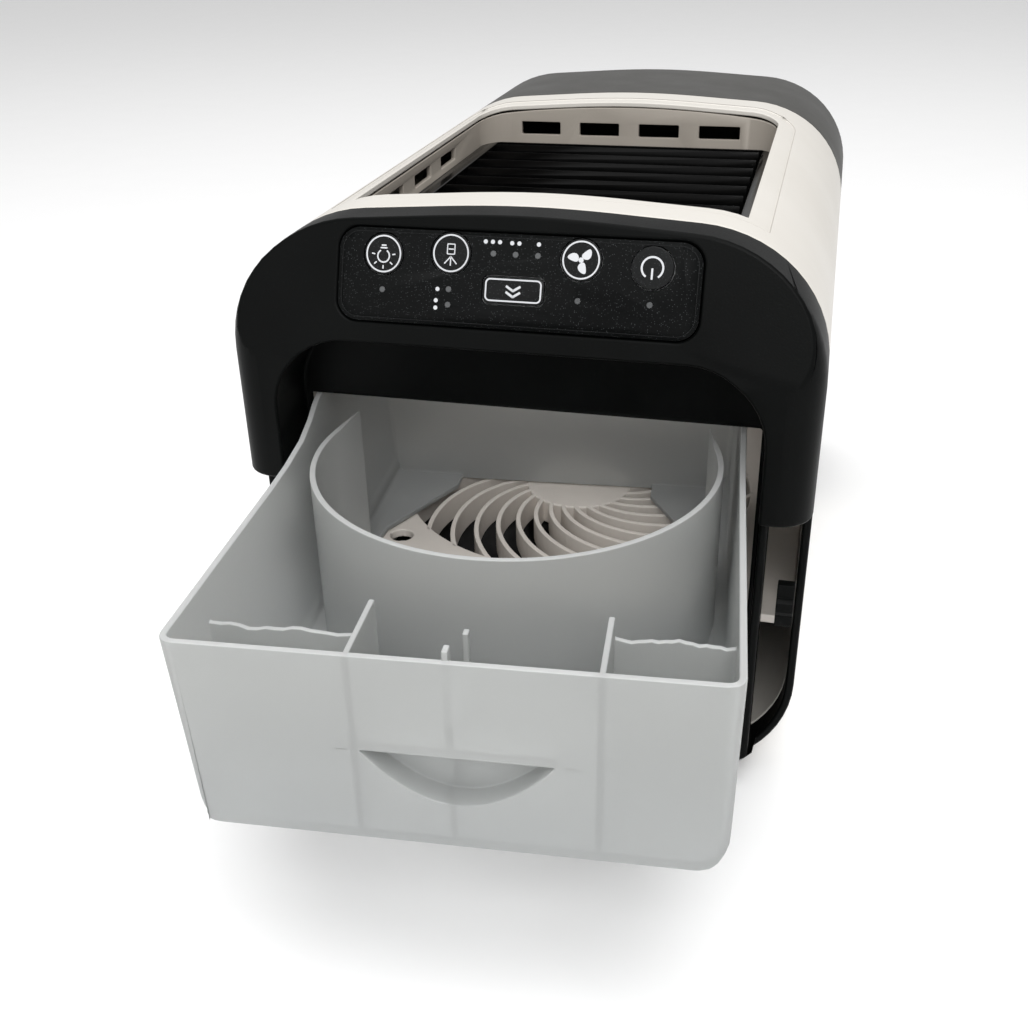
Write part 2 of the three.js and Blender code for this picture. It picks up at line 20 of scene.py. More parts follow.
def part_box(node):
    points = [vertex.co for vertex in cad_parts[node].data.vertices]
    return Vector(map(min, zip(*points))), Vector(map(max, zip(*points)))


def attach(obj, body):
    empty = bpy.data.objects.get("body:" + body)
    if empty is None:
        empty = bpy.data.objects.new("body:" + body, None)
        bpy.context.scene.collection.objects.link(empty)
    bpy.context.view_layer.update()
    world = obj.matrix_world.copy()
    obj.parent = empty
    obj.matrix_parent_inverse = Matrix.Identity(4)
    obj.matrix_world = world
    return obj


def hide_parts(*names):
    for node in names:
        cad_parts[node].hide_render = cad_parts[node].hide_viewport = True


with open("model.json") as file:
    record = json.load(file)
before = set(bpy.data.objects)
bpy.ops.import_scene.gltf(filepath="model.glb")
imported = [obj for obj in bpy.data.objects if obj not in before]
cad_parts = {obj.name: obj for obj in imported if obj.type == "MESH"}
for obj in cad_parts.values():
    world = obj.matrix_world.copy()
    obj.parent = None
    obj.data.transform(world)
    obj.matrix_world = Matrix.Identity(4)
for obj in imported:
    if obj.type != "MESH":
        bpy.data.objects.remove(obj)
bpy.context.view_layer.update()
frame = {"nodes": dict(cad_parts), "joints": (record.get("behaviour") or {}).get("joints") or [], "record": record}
BODY_OF = {node: body for body, nodes in frame["record"]["behaviour"]["bodies"].items() for node in nodes}

log = logging.getLogger("cooler")
logging.basicConfig(level=logging.INFO, format="%(name)s: %(message)s")

GAP = 0.0003  # clearance between neighbouring pieces
WELD = 2e-6  # vertices closer than this are one


class Cut(Enum):
    """How one solid acts on another."""

    REMOVE = "DIFFERENCE"
    KEEP = "INTERSECT"
    ADD = "UNION"


class Along(Enum):
    """The direction a flat outline is drawn out in, as the turn from local to world axes."""

    X = Matrix(((0, 0, 1, 0), (1, 0, 0, 0), (0, 1, 0, 0), (0, 0, 0, 1)))
    Y = Matrix(((1, 0, 0, 0), (0, 0, 1, 0), (0, 1, 0, 0), (0, 0, 0, 1)))
    Z = Matrix.Identity(4)


# ------------------------------------------------------------------ mesh tools


def close_up(bm: bmesh.types.BMesh) -> bmesh.types.BMesh:
    """Merge doubles and point every face outwards."""
    bmesh.ops.remove_doubles(bm, verts=bm.verts, dist=WELD)
    bmesh.ops.recalc_face_normals(bm, faces=bm.faces)
    return bm


def block(low: Sequence[float], high: Sequence[float]) -> bmesh.types.BMesh:
    """Make a plain box to cut with or to shape further.

    Args:
        low: Lowest corner.
        high: Highest corner.

    Returns:
        The box's mesh.
    """
    bm = bmesh.new()
    bmesh.ops.create_cube(bm, size=1)
    low, high = Vector(low), Vector(high)
    bmesh.ops.scale(bm, vec=high - low, verts=bm.verts)
    bmesh.ops.translate(bm, vec=(low + high) / 2, verts=bm.verts)
    return bm


def rod(centre: Sequence[float], radius: float, start: float, end: float, along: Along = Along.Z,
        sides: int = 48) -> bmesh.types.BMesh:
    """Make a cylinder.

    Args:
        centre: The axis's place in the two directions across it.
        radius: Radius.
        start: Where the cylinder starts along its axis.
        end: Where it ends.
        along: The axis's direction.
        sides: How many sides stand for the circle.

    Returns:
        The cylinder's mesh.
    """
    bm = bmesh.new()
    bmesh.ops.create_cone(bm, cap_ends=True, segments=sides, radius1=radius, radius2=radius, depth=end - start)
    bmesh.ops.translate(bm, vec=(*centre, (start + end) / 2), verts=bm.verts)
    bmesh.ops.transform(bm, matrix=along.value, verts=bm.verts)
    return close_up(bm)


def plate(low: Sequence[float], high: Sequence[float], radius: float | Callable[[Vector], float],
          start: float, end: float, along: Along = Along.Z, segments: int = 10,
          shape: Callable[[bmesh.types.BMesh], None] | None = None) -> bmesh.types.BMesh:
    """Draw out a rectangle with rounded corners.

    Args:
        low: The outline's lowest corner in its own plane.
        high: The outline's highest corner.
        radius: Corner radius, or a rule that gives it for each corner.
        start: Where the plate starts along its thickness.
        end: Where it ends.
        along: The direction of the thickness.
        segments: Steps in each rounded corner.
        shape: Changes the flat outline before it gets its thickness.

    Returns:
        The plate's mesh.
    """
    bm = bmesh.new()
    bmesh.ops.create_grid(bm, x_segments=1, y_segments=1, size=0.5)
    low, high = Vector(low), Vector(high)
    bmesh.ops.scale(bm, vec=(*(high - low), 1), verts=bm.verts)
    bmesh.ops.translate(bm, vec=(*((low + high) / 2), 0), verts=bm.verts)
    for vert in list(bm.verts):
        size = radius(vert.co) if callable(radius) else radius
        if size > 0:
            bmesh.ops.bevel(bm, geom=[vert], offset=size, offset_type="OFFSET", segments=segments,
                            affect="VERTICES", profile=0.5, material=-1, clamp_overlap=False)
    if shape:
        shape(bm)
    bmesh.ops.translate(bm, vec=(0, 0, start), verts=bm.verts)
    grown = bmesh.ops.extrude_face_region(bm, geom=list(bm.faces), use_keep_orig=True)
    top = [item for item in grown["geom"] if isinstance(item, bmesh.types.BMVert)]
    bmesh.ops.translate(bm, vec=(0, 0, end - start), verts=top)
    bmesh.ops.transform(bm, matrix=along.value, verts=bm.verts)
    return close_up(bm)


def round_edges(bm: bmesh.types.BMesh, width: float, segments: int, chosen: Callable[[bmesh.types.BMEdge], bool],
                sharper_than: float = 30) -> bmesh.types.BMesh:
    """Round the chosen edges that are sharper than an angle in degrees.

    Returns:
        The same mesh.
    """
    limit = math.radians(sharper_than)
    edges = [e for e in bm.edges if e.is_manifold and e.calc_face_angle(0) > limit and chosen(e)]
    bmesh.ops.bevel(bm, geom=edges, offset=width, offset_type="OFFSET", segments=segments, affect="EDGES",
                    profile=0.5, material=-1, clamp_overlap=False)
    return close_up(bm)


def combine(base: bmesh.types.BMesh, tools: Iterable[bmesh.types.BMesh], how: Cut) -> bmesh.types.BMesh:
    """Cut solids from, keep them of, or add them to a solid.

    Args:
        base: The solid that is worked on.
        tools: The solids that work on it; they are used up.
        how: What the tools do.

    Returns:
        The result, with its flat faces merged.
    """
    made = [as_object("working_solid", bm) for bm in (base, *tools)]
    for tool in made[1:]:
        step = made[0].modifiers.new("step", "BOOLEAN")
        step.operation, step.solver, step.object = how.value, "EXACT", tool
    bpy.context.view_layer.update()
    result = bmesh.new()
    evaluated = made[0].evaluated_get(bpy.context.evaluated_depsgraph_get())
    result.from_mesh(evaluated.to_mesh())
    evaluated.to_mesh_clear()
    for piece in made:
        mesh = piece.data
        bpy.data.objects.remove(piece)
        bpy.data.meshes.remove(mesh)
    return flatten(result)


def flatten(bm: bmesh.types.BMesh) -> bmesh.types.BMesh:
    """Merge doubles and turn each flat patch of triangles into one face."""
    bmesh.ops.remove_doubles(bm, verts=bm.verts, dist=WELD)
    bmesh.ops.dissolve_degenerate(bm, edges=bm.edges, dist=WELD)
    bmesh.ops.dissolve_limit(bm, angle_limit=math.radians(0.3), verts=bm.verts, edges=bm.edges,
                             use_dissolve_boundaries=False)
    return bm


def joined(parts: Iterable[bmesh.types.BMesh]) -> bmesh.types.BMesh:
    """Put several solids into one mesh as they are."""
    result = bmesh.new()
    for part in parts:
        mesh = bpy.data.meshes.new("part")
        part.to_mesh(mesh)
        part.free()
        result.from_mesh(mesh)
        bpy.data.meshes.remove(mesh)
    return result


def turned(bm: bmesh.types.BMesh, matrix: Matrix) -> bmesh.types.BMesh:
    """Move a mesh by a matrix and return it."""
    bmesh.ops.transform(bm, matrix=matrix, verts=bm.verts)
    return bm


def as_object(name: str, bm: bmesh.types.BMesh) -> bpy.types.Object:
    """Turn a mesh under construction into a linked object and free it."""
    mesh = bpy.data.meshes.new(name)
    bm.to_mesh(mesh)
    bm.free()
    thing = bpy.data.objects.new(name, mesh)
    bpy.context.scene.collection.objects.link(thing)
    return thing


def node_mesh(node: str) -> bmesh.types.BMesh:
    """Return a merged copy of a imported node's mesh."""
    bm = bmesh.new()
    bm.from_mesh(frame["nodes"][node].data)
    bmesh.ops.remove_doubles(bm, verts=bm.verts, dist=WELD)
    return bm


@dataclass(frozen=True)
class Edging:
    """How a piece's sharp edges are broken: width, steps and the least angle in degrees."""

    width: float = 0.0003
    segments: int = 2
    angle: float = 32


def place(name: str, bm: bmesh.types.BMesh, node: str, finish: bpy.types.Material,
          edging: Edging | None = Edging(), stands_for: Sequence[str] | None = None) -> bpy.types.Object:
    """Finish a piece: put it on its body, give it its finish and break its edges.

    Args:
        name: The piece's name.
        bm: Its mesh, in place.
        node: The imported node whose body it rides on.
        finish: Its material.
        edging: How its edges are broken, or None to leave them.
        stands_for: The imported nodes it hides; the default is the node itself.

    Returns:
        The finished object.
    """
    piece = as_object(name, bm)
    mesh = piece.data
    mesh.materials.append(finish)
    mesh.shade_smooth()
    mesh.set_sharp_from_angle(angle=math.radians(34))
    if edging:
        step = piece.modifiers.new("broken_edges", "BEVEL")
        step.width, step.segments = edging.width, edging.segments
        step.limit_method, step.angle_limit = "ANGLE", math.radians(edging.angle)
        step.use_clamp_overlap = False
        step.harden_normals = True
        step.miter_outer = "MITER_ARC"
    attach(piece, BODY_OF[node])
    hidden = [node] if stands_for is None else list(stands_for)
    if hidden:
        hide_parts(*hidden)
    log.info("%s: %d faces on %s", name, len(mesh.polygons), BODY_OF[node])
    return piece


# ------------------------------------------------------------------ finishes


class Graph:
    """A shader or group node tree that is filled in from left to right."""

    def __init__(self, tree: bpy.types.NodeTree) -> None:
        """Keep the tree to add to."""
        self.tree = tree

    def add(self, kind: str, **settings: object) -> bpy.types.Node:
        """Add a node and set its properties."""
        node = self.tree.nodes.new(kind)
        for key, value in settings.items():
            setattr(node, key, value)
        return node

    def link(self, source: bpy.types.NodeSocket, target: bpy.types.NodeSocket) -> None:
        """Join an output to an input."""
        self.tree.links.new(source, target)

    def feed(self, node: bpy.types.Node, **values: object) -> bpy.types.Node:
        """Set or join inputs by name, with underscores for spaces.

        Args:
            node: The node whose inputs are filled.
            values: A number, colour or output socket for each input.

        Returns:
            The same node.
        """
        for key, value in values.items():
            target = node.inputs[key.replace("_", " ")]
            if isinstance(value, bpy.types.NodeSocket):
                self.link(value, target)
            else:
                target.default_value = value
        return node

    def noise(self, vector: bpy.types.NodeSocket, scale: float | bpy.types.NodeSocket,
              detail: float = 3) -> bpy.types.NodeSocket:
        """Add a noise texture and return its value."""
        return self.feed(self.add("ShaderNodeTexNoise"), Vector=vector, Scale=scale, Detail=detail).outputs["Fac"]

    def ramp(self, value: bpy.types.NodeSocket, low: float, high: float,
             to_low: float | bpy.types.NodeSocket = 0, to_high: float | bpy.types.NodeSocket = 1,
             ) -> bpy.types.NodeSocket:
        """Map a value from one range to another, clamped."""
        node = self.add("ShaderNodeMapRange")
        self.feed(node, Value=value, From_Min=low, From_Max=high, To_Min=to_low, To_Max=to_high)
        return node.outputs["Result"]

    def math(self, operation: str, first: object, second: object) -> bpy.types.NodeSocket:
        """Combine two values."""
        node = self.add("ShaderNodeMath", operation=operation)
        for socket, value in zip(node.inputs, (first, second)):
            if isinstance(value, bpy.types.NodeSocket):
                self.link(value, socket)
            else:
                socket.default_value = value
        return node.outputs[0]

    def blend(self, factor: bpy.types.NodeSocket, first: object, second: object) -> bpy.types.NodeSocket:
        """Mix two colours by a mask."""
        node = self.add("ShaderNodeMix", data_type="RGBA")
        self.link(factor, node.inputs[0])
        for socket, value in ((node.inputs[6], first), (node.inputs[7], second)):
            if isinstance(value, bpy.types.NodeSocket):
                self.link(value, socket)
            else:
                socket.default_value = value
        return node.outputs[2]


def new_group(name: str, inputs: dict[str, float | None], outputs: Sequence[str]) -> tuple[Graph, dict, dict]:
    """Start a shader node group.

    Args:
        name: The group's name.
        inputs: Each input and its default; None makes it a vector.
        outputs: The values it puts out.

    Returns:
        The graph, its input sockets and its output sockets by name.
    """
    tree = bpy.data.node_groups.new(name, "ShaderNodeTree")
    for key, value in inputs.items():
        kind = "NodeSocketVector" if value is None else "NodeSocketFloat"
        socket = tree.interface.new_socket(name=key, in_out="INPUT", socket_type=kind)
        if value is not None:
            socket.default_value = value
    for key in outputs:
        tree.interface.new_socket(name=key, in_out="OUTPUT", socket_type="NodeSocketFloat")
    graph = Graph(tree)
    start, end = graph.add("NodeGroupInput"), graph.add("NodeGroupOutput")
    return graph, dict(start.outputs.items()), dict(end.inputs.items())


def make_moulding_group() -> bpy.types.NodeTree:
    """Build the moulded surface effect: fine grain for the bump and slow mottling for colour and gloss."""
    graph, into, out = new_group(
        "moulded_surface", {"Vector": None, "Grain": 2200.0, "Mottle": 28.0, "Grain Part": 0.7},
        ("Height", "Mottle", "Gloss"))
    grain = graph.noise(into["Vector"], into["Grain"], 2)
    slow = graph.noise(into["Vector"], into["Mottle"], 4)
    graph.link(graph.math("ADD", graph.math("MULTIPLY", grain, into["Grain Part"]),
                          graph.math("MULTIPLY", slow, 0.3)), out["Height"])
    graph.link(graph.ramp(slow, 0.32, 0.68), out["Mottle"])
    graph.link(graph.math("ADD", graph.math("MULTIPLY", slow, 0.7), graph.math("MULTIPLY", grain, 0.3)), out["Gloss"])
    return graph.tree


def make_dust_group() -> bpy.types.NodeTree:
    """Build the dust effect: a mask that gathers in patches on faces that look up."""
    graph, into, out = new_group("settled_dust", {"Vector": None, "Amount": 0.2}, ("Mask",))
    normal = graph.add("ShaderNodeNewGeometry").outputs["Normal"]
    parts = graph.feed(graph.add("ShaderNodeSeparateXYZ"), Vector=normal)
    facing = graph.ramp(parts.outputs["Z"], 0.1, 0.95)
    patches = graph.ramp(graph.noise(into["Vector"], 95, 5), 0.45, 0.72)
    graph.link(graph.math("MULTIPLY", graph.math("MULTIPLY", facing, patches), into["Amount"]), out["Mask"])
    return graph.tree


MOULDING = make_moulding_group()
DUST = make_dust_group()


@dataclass(frozen=True)
class MouldedPlastic:
    """A moulded plastic: two close colours, gloss, grain, and a little settled dust."""

    name: str
    colour: tuple[float, float, float]
    shade: tuple[float, float, float]
    roughness: float = 0.45
    spread: float = 0.12
    grain: float = 2200
    depth: float = 0.12
    dust: float = 0.05
    dust_colour: tuple[float, float, float] = (0.55, 0.53, 0.5)
    specular: float = 0.5
    coat: float = 0.0

    def start(self) -> tuple[Graph, bpy.types.Node, bpy.types.Node, bpy.types.Material]:
        """Make the shared part of the material.

        Returns:
            The graph, the shader, the moulded surface node and the material.
        """
        material = bpy.data.materials.new(self.name)
        material.use_nodes = True
        graph = Graph(material.node_tree)
        shader = material.node_tree.nodes["Principled BSDF"]
        where = graph.add("ShaderNodeTexCoord").outputs["Object"]
        surface = graph.feed(graph.add("ShaderNodeGroup", node_tree=MOULDING), Vector=where, Grain=self.grain)
        dust = graph.feed(graph.add("ShaderNodeGroup", node_tree=DUST), Vector=where, Amount=self.dust)
        colour = graph.blend(surface.outputs["Mottle"], (*self.colour, 1), (*self.shade, 1))
        colour = graph.blend(dust.outputs["Mask"], colour, (*self.dust_colour, 1))
        bump = graph.feed(graph.add("ShaderNodeBump"), Height=surface.outputs["Height"], Strength=self.depth,
                          Distance=0.0002)
        rough = graph.ramp(surface.outputs["Gloss"], 0.3, 0.7, self.roughness - self.spread,
                           self.roughness + self.spread)
        graph.feed(shader, Base_Color=colour, Roughness=rough, Normal=bump.outputs["Normal"])
        shader.inputs["Specular IOR Level"].default_value = self.specular
        shader.inputs["Coat Weight"].default_value = self.coat
        shader.inputs["Coat Roughness"].default_value = 0.12
        return graph, shader, surface, material

    def build(self) -> bpy.types.Material:
        """Make the material."""
        return self.start()[3]


@dataclass(frozen=True)
class FleckedPlastic(MouldedPlastic):
    """A dark moulded plastic with fine bright flecks in it."""

    fleck: tuple[float, float, float] = (0.22, 0.23, 0.25)
    fleck_scale: float = 1500

    def build(self) -> bpy.types.Material:
        """Make the material with its flecks."""
        graph, shader, _, material = self.start()
        where = graph.add("ShaderNodeTexCoord").outputs["Object"]
        cells = graph.feed(graph.add("ShaderNodeTexVoronoi"), Vector=where, Scale=self.fleck_scale)
        spot = graph.ramp(cells.outputs["Distance"], 0.16, 0.3, 1.0, 0.0)
        lucky = graph.ramp(graph.feed(graph.add("ShaderNodeSeparateColor"),
                                      Color=cells.outputs["Color"]).outputs[0], 0.55, 0.75)
        mask = graph.math("MULTIPLY", spot, lucky)
        plain = shader.inputs["Base Color"].links[0].from_socket
        graph.feed(shader, Base_Color=graph.blend(mask, plain, (*self.fleck, 1)))
        return material


@dataclass(frozen=True)
class Metal:
    """A bare metal with fine rolled or turned lines across one direction."""

    name: str
    colour: tuple[float, float, float]
    roughness: float = 0.32
    stretch: tuple[float, float, float] = (1, 1, 30)

    def build(self) -> bpy.types.Material:
        """Make the material."""
        material = bpy.data.materials.new(self.name)
        material.use_nodes = True
        graph = Graph(material.node_tree)
        shader = material.node_tree.nodes["Principled BSDF"]
        where = graph.add("ShaderNodeTexCoord").outputs["Object"]
        spread = graph.feed(graph.add("ShaderNodeMapping"), Vector=where, Scale=self.stretch)
        lines = graph.noise(spread.outputs["Vector"], 900, 4)
        stain = graph.noise(where, 160, 3)
        dull = tuple(c * 0.6 for c in self.colour)
        colour = graph.blend(graph.ramp(stain, 0.35, 0.7), (*self.colour, 1), (*dull, 1))
        bump = graph.feed(graph.add("ShaderNodeBump"), Height=lines, Strength=0.15, Distance=0.0001)
        rough = graph.ramp(lines, 0.3, 0.7, self.roughness - 0.1, self.roughness + 0.15)
        graph.feed(shader, Base_Color=colour, Roughness=rough, Metallic=1.0, Normal=bump.outputs["Normal"])
        return material


@dataclass(frozen=True)
class FrostedTank:
    """Frosted translucent tank plastic, whiter along its upper rims as a painted highlight on upward faces, and darker
    towards its floor as painted shade.
    """

    name: str
    colour: tuple[float, float, float] = (0.60, 0.61, 0.60)
    # Painted shade colour for the lower part of the tank.
    shaded_low_colour: tuple[float, float, float] = (0.56, 0.575, 0.575)
    # Painted highlight colour, laid on upward faces near the top of the tank.
    rim: tuple[float, float, float] = (0.88, 0.89, 0.885)
    rim_height: float = 0.088
    transmission: float = 0.58
    roughness: float = 0.4

    def build(self) -> bpy.types.Material:
        """Make the material."""
        material = bpy.data.materials.new(self.name)
        material.use_nodes = True
        graph = Graph(material.node_tree)
        shader = material.node_tree.nodes["Principled BSDF"]
        where = graph.add("ShaderNodeTexCoord").outputs["Object"]
        surface = graph.feed(graph.add("ShaderNodeGroup", node_tree=MOULDING), Vector=where, Grain=1500.0,
                             Mottle=16.0)
        height = graph.feed(graph.add("ShaderNodeSeparateXYZ"), Vector=where).outputs["Z"]
        normal = graph.add("ShaderNodeNewGeometry").outputs["Normal"]
        upward = graph.feed(graph.add("ShaderNodeSeparateXYZ"), Vector=normal).outputs["Z"]
        # Painted highlight: upward faces above rim_height are whitened as if lit from above.
        rim_highlight_mask = graph.math("MULTIPLY", graph.ramp(upward, 0.35, 0.8),
                            graph.ramp(height, self.rim_height - 0.004, self.rim_height))
        # Painted shade: the colour darkens towards the tank's floor.
        tint = graph.blend(graph.ramp(height, 0.06, 0.1), (*self.shaded_low_colour, 1), (*self.colour, 1))
        whiter = tuple(min(1, c * 1.07) for c in self.colour)
        tint = graph.blend(graph.math("MULTIPLY", surface.outputs["Mottle"], 0.5), tint, (*whiter, 1))
        tint = graph.blend(rim_highlight_mask, tint, (*self.rim, 1))
        bump = graph.feed(graph.add("ShaderNodeBump"), Height=surface.outputs["Height"], Strength=0.1,
                          Distance=0.0002)
        rough = graph.ramp(surface.outputs["Gloss"], 0.3, 0.7, self.roughness - 0.06, self.roughness + 0.1)
        graph.feed(shader, Base_Color=tint, Roughness=rough, Normal=bump.outputs["Normal"])
        shader.inputs["Transmission Weight"].default_value = self.transmission
        shader.inputs["IOR"].default_value = 1.3
        return material


class Finishes:
    """Every finish of the cooler, built once."""

    def __init__(self) -> None:
        """Build the materials."""
        self.shell = MouldedPlastic("white_shell", (0.66, 0.632, 0.585), (0.63, 0.602, 0.555), 0.4, 0.06,
                                    grain=2600, depth=0.05, dust=0.03).build()
        self.cover = MouldedPlastic("black_cover", (0.0016, 0.0019, 0.0018), (0.0026, 0.003, 0.0029), 0.4, 0.07,
                                    grain=1900, depth=0.2, dust=0.001, specular=0.06).build()
        self.base = MouldedPlastic("grey_base", (0.042, 0.041, 0.0375), (0.05, 0.049, 0.045), 0.5, 0.08,
                                   grain=1900, depth=0.2, dust=0.02, specular=0.3).build()
        self.panel = FleckedPlastic("flecked_panel", (0.0026, 0.003, 0.003), (0.0038, 0.0043, 0.0043), 0.42, 0.08,
                                    grain=1400, depth=0.22, dust=0.0, specular=0.07,
                                    fleck=(0.055, 0.058, 0.06), fleck_scale=2300).build()
        self.key = FleckedPlastic("flecked_key", (0.0026, 0.003, 0.0032), (0.0038, 0.0043, 0.0045), 0.36, 0.08,
                                  grain=1400, depth=0.2, dust=0.0, specular=0.16,
                                  fleck=(0.045, 0.048, 0.05), fleck_scale=2500).build()
        self.printing = MouldedPlastic("silver_printing", (0.62, 0.63, 0.65), (0.5, 0.51, 0.53), 0.4, 0.1,
                                       grain=3000, depth=0.1, dust=0.0).build()
        self.lens = MouldedPlastic("window_plastic", (0.055, 0.058, 0.06), (0.075, 0.078, 0.08), 0.3, 0.08,
                                   dust=0.0).build()
        self.diffuser = MouldedPlastic("milky_diffuser", (0.75, 0.76, 0.76), (0.68, 0.69, 0.7), 0.4, 0.08).build()
        self.board = MouldedPlastic("solder_mask", (0.012, 0.10, 0.04), (0.02, 0.13, 0.055), 0.3, 0.08,
                                    grain=500, depth=0.3, coat=0.3).build()
        self.well = MouldedPlastic("taupe_well", (0.37, 0.335, 0.29), (0.34, 0.305, 0.265), 0.5, 0.08,
                                   grain=2000, depth=0.1, dust=0.05, dust_colour=(0.3, 0.28, 0.25)).build()
        self.liner = MouldedPlastic("cream_liner", (0.76, 0.71, 0.655), (0.72, 0.67, 0.615), 0.5, 0.08,
                                    grain=2000, depth=0.1, dust=0.08, dust_colour=(0.42, 0.39, 0.36)).build()
        self.louvre = MouldedPlastic("gloss_black", (0.0015, 0.0015, 0.0015), (0.0024, 0.0024, 0.0024), 0.2, 0.06,
                                     grain=1200, depth=0.04, dust=0.0, specular=0.16).build()
        self.fan = MouldedPlastic("black_fan", (0.006, 0.006, 0.0062), (0.009, 0.009, 0.0093), 0.42, 0.08,
                                  depth=0.1, dust=0.02, specular=0.25).build()
        self.rubber = MouldedPlastic("soft_rubber", (0.013, 0.013, 0.014), (0.02, 0.02, 0.021), 0.8, 0.1,
                                     grain=1500, depth=0.35, dust=0.08).build()
        self.steel = Metal("zinc_steel", (0.6, 0.61, 0.62)).build()
        self.copper = Metal("wound_copper", (0.75, 0.38, 0.2), 0.4, (1, 1, 60)).build()
        self.tank = FrostedTank("frosted_tank").build()


# ------------------------------------------------------------------ shared shapes


@dataclass(frozen=True)
class BodySection:
    """The rounded-square outline of the tube: flat back, slightly arched front."""

    half: float
    top: float
    corner: float = 0.037
    arch: float = 0.003
    arch_half: float = 0.07
    steps: int = 14

    def block(self, inset: float, start: float, end: float, nose_at: float | None = None,
              nose: float = 0) -> bmesh.types.BMesh:
        """Draw the outline out along Y.

        Args:
            inset: How far inside the outer skin the outline lies.
            start: Where the block starts.
            end: Where it ends.
            nose_at: The end whose rim is rounded, if any.
            nose: The radius of that rounding.

        Returns:
            The block's mesh.
        """
        def arch_over(bm: bmesh.types.BMesh) -> None:
            middle = self.top / 2
            upper = [e for e in bm.edges if min(v.co.y for v in e.verts) > middle and e.calc_length() > self.corner]
            bmesh.ops.subdivide_edges(bm, edges=upper, cuts=15)
            for vert in bm.verts:
                if vert.co.y > middle and abs(vert.co.x) < self.arch_half:
                    vert.co.y += self.arch * math.cos(math.pi / 2 * vert.co.x / self.arch_half) ** 2

        bm = plate((-self.half + inset, inset), (self.half - inset, self.top - self.arch - inset),
                   self.corner - inset, start, end, Along.Y, self.steps, arch_over)
        if nose_at is not None:
            round_edges(bm, nose, 8, lambda e: all(abs(v.co.y - nose_at) < WELD for v in e.verts))
        return bm


@dataclass(frozen=True)
class Slope:
    """The leaning face that holds the control panel: x across, s down it, depth into it."""

    origin: Vector
    lean: float

    @classmethod
    def from_record(cls, thickness: float) -> "Slope":
        """Find the slope from the key's press axis and the panel's box."""
        press = next(Vector(j["axis"]) for j in frame["joints"] if j["name"] == "light_press")
        lean = math.atan2(-press.z, press.y)
        low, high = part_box("control_panel")
        height = (high.z - low.z - thickness * math.sin(lean)) / math.cos(lean)
        return cls(Vector((0, low.y + height * math.sin(lean), high.z)), lean)

    @property
    def matrix(self) -> Matrix:
        """The turn and place from the slope's own axes (x, up the slope, out of it) to the world's."""
        return Matrix.Translation(self.origin) @ Matrix.Rotation(math.pi / 2 - self.lean, 4, "X")

    def local(self, point: Vector) -> Vector:
        """Return a world point in the slope's own axes."""
        return self.matrix.inverted() @ point

    def panel_block(self, x: tuple[float, float], s: tuple[float, float], depth: tuple[float, float],
                    radius: float) -> bmesh.types.BMesh:
        """Make a rounded plate on the slope, x across, s down it, depth out of it."""
        return turned(plate((x[0], -s[1]), (x[1], -s[0]), radius, *depth), self.matrix)


def outlet_block(grow: float, start: float, end: float) -> bmesh.types.BMesh:
    """Make the outlet's outline grown by an amount: square near corners, round far ones."""
    low, high = OUTLET_LOW, OUTLET_HIGH
    return plate((low.x - grow, low.y - grow), (high.x + grow, high.y + grow),
                 lambda co: OUTLET_CORNER + grow if co.y > (low.y + high.y) / 2 else 0, start, end)


SHELL_LOW, SHELL_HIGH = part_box("main_shell")
COVER_LOW, COVER_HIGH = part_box("top_cover")
CAP_LOW, CAP_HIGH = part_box("base_cap")
GUARD_LOW, GUARD_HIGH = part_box("fan_guard")
FRAME_LOW, FRAME_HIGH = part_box("louvre_frame")
OUTLET_LOW = Vector((FRAME_LOW.x - GAP, FRAME_LOW.y - GAP, 0))
OUTLET_HIGH = Vector((FRAME_HIGH.x + GAP, FRAME_HIGH.y + 0.0015, 0))
OUTLET_CORNER = 0.012
SECTION = BodySection(SHELL_HIGH.x, SHELL_HIGH.z)
PANEL_THICK = 0.0012
SLOPE = Slope.from_record(PANEL_THICK)


# ------------------------------------------------------------------ sub-assemblies


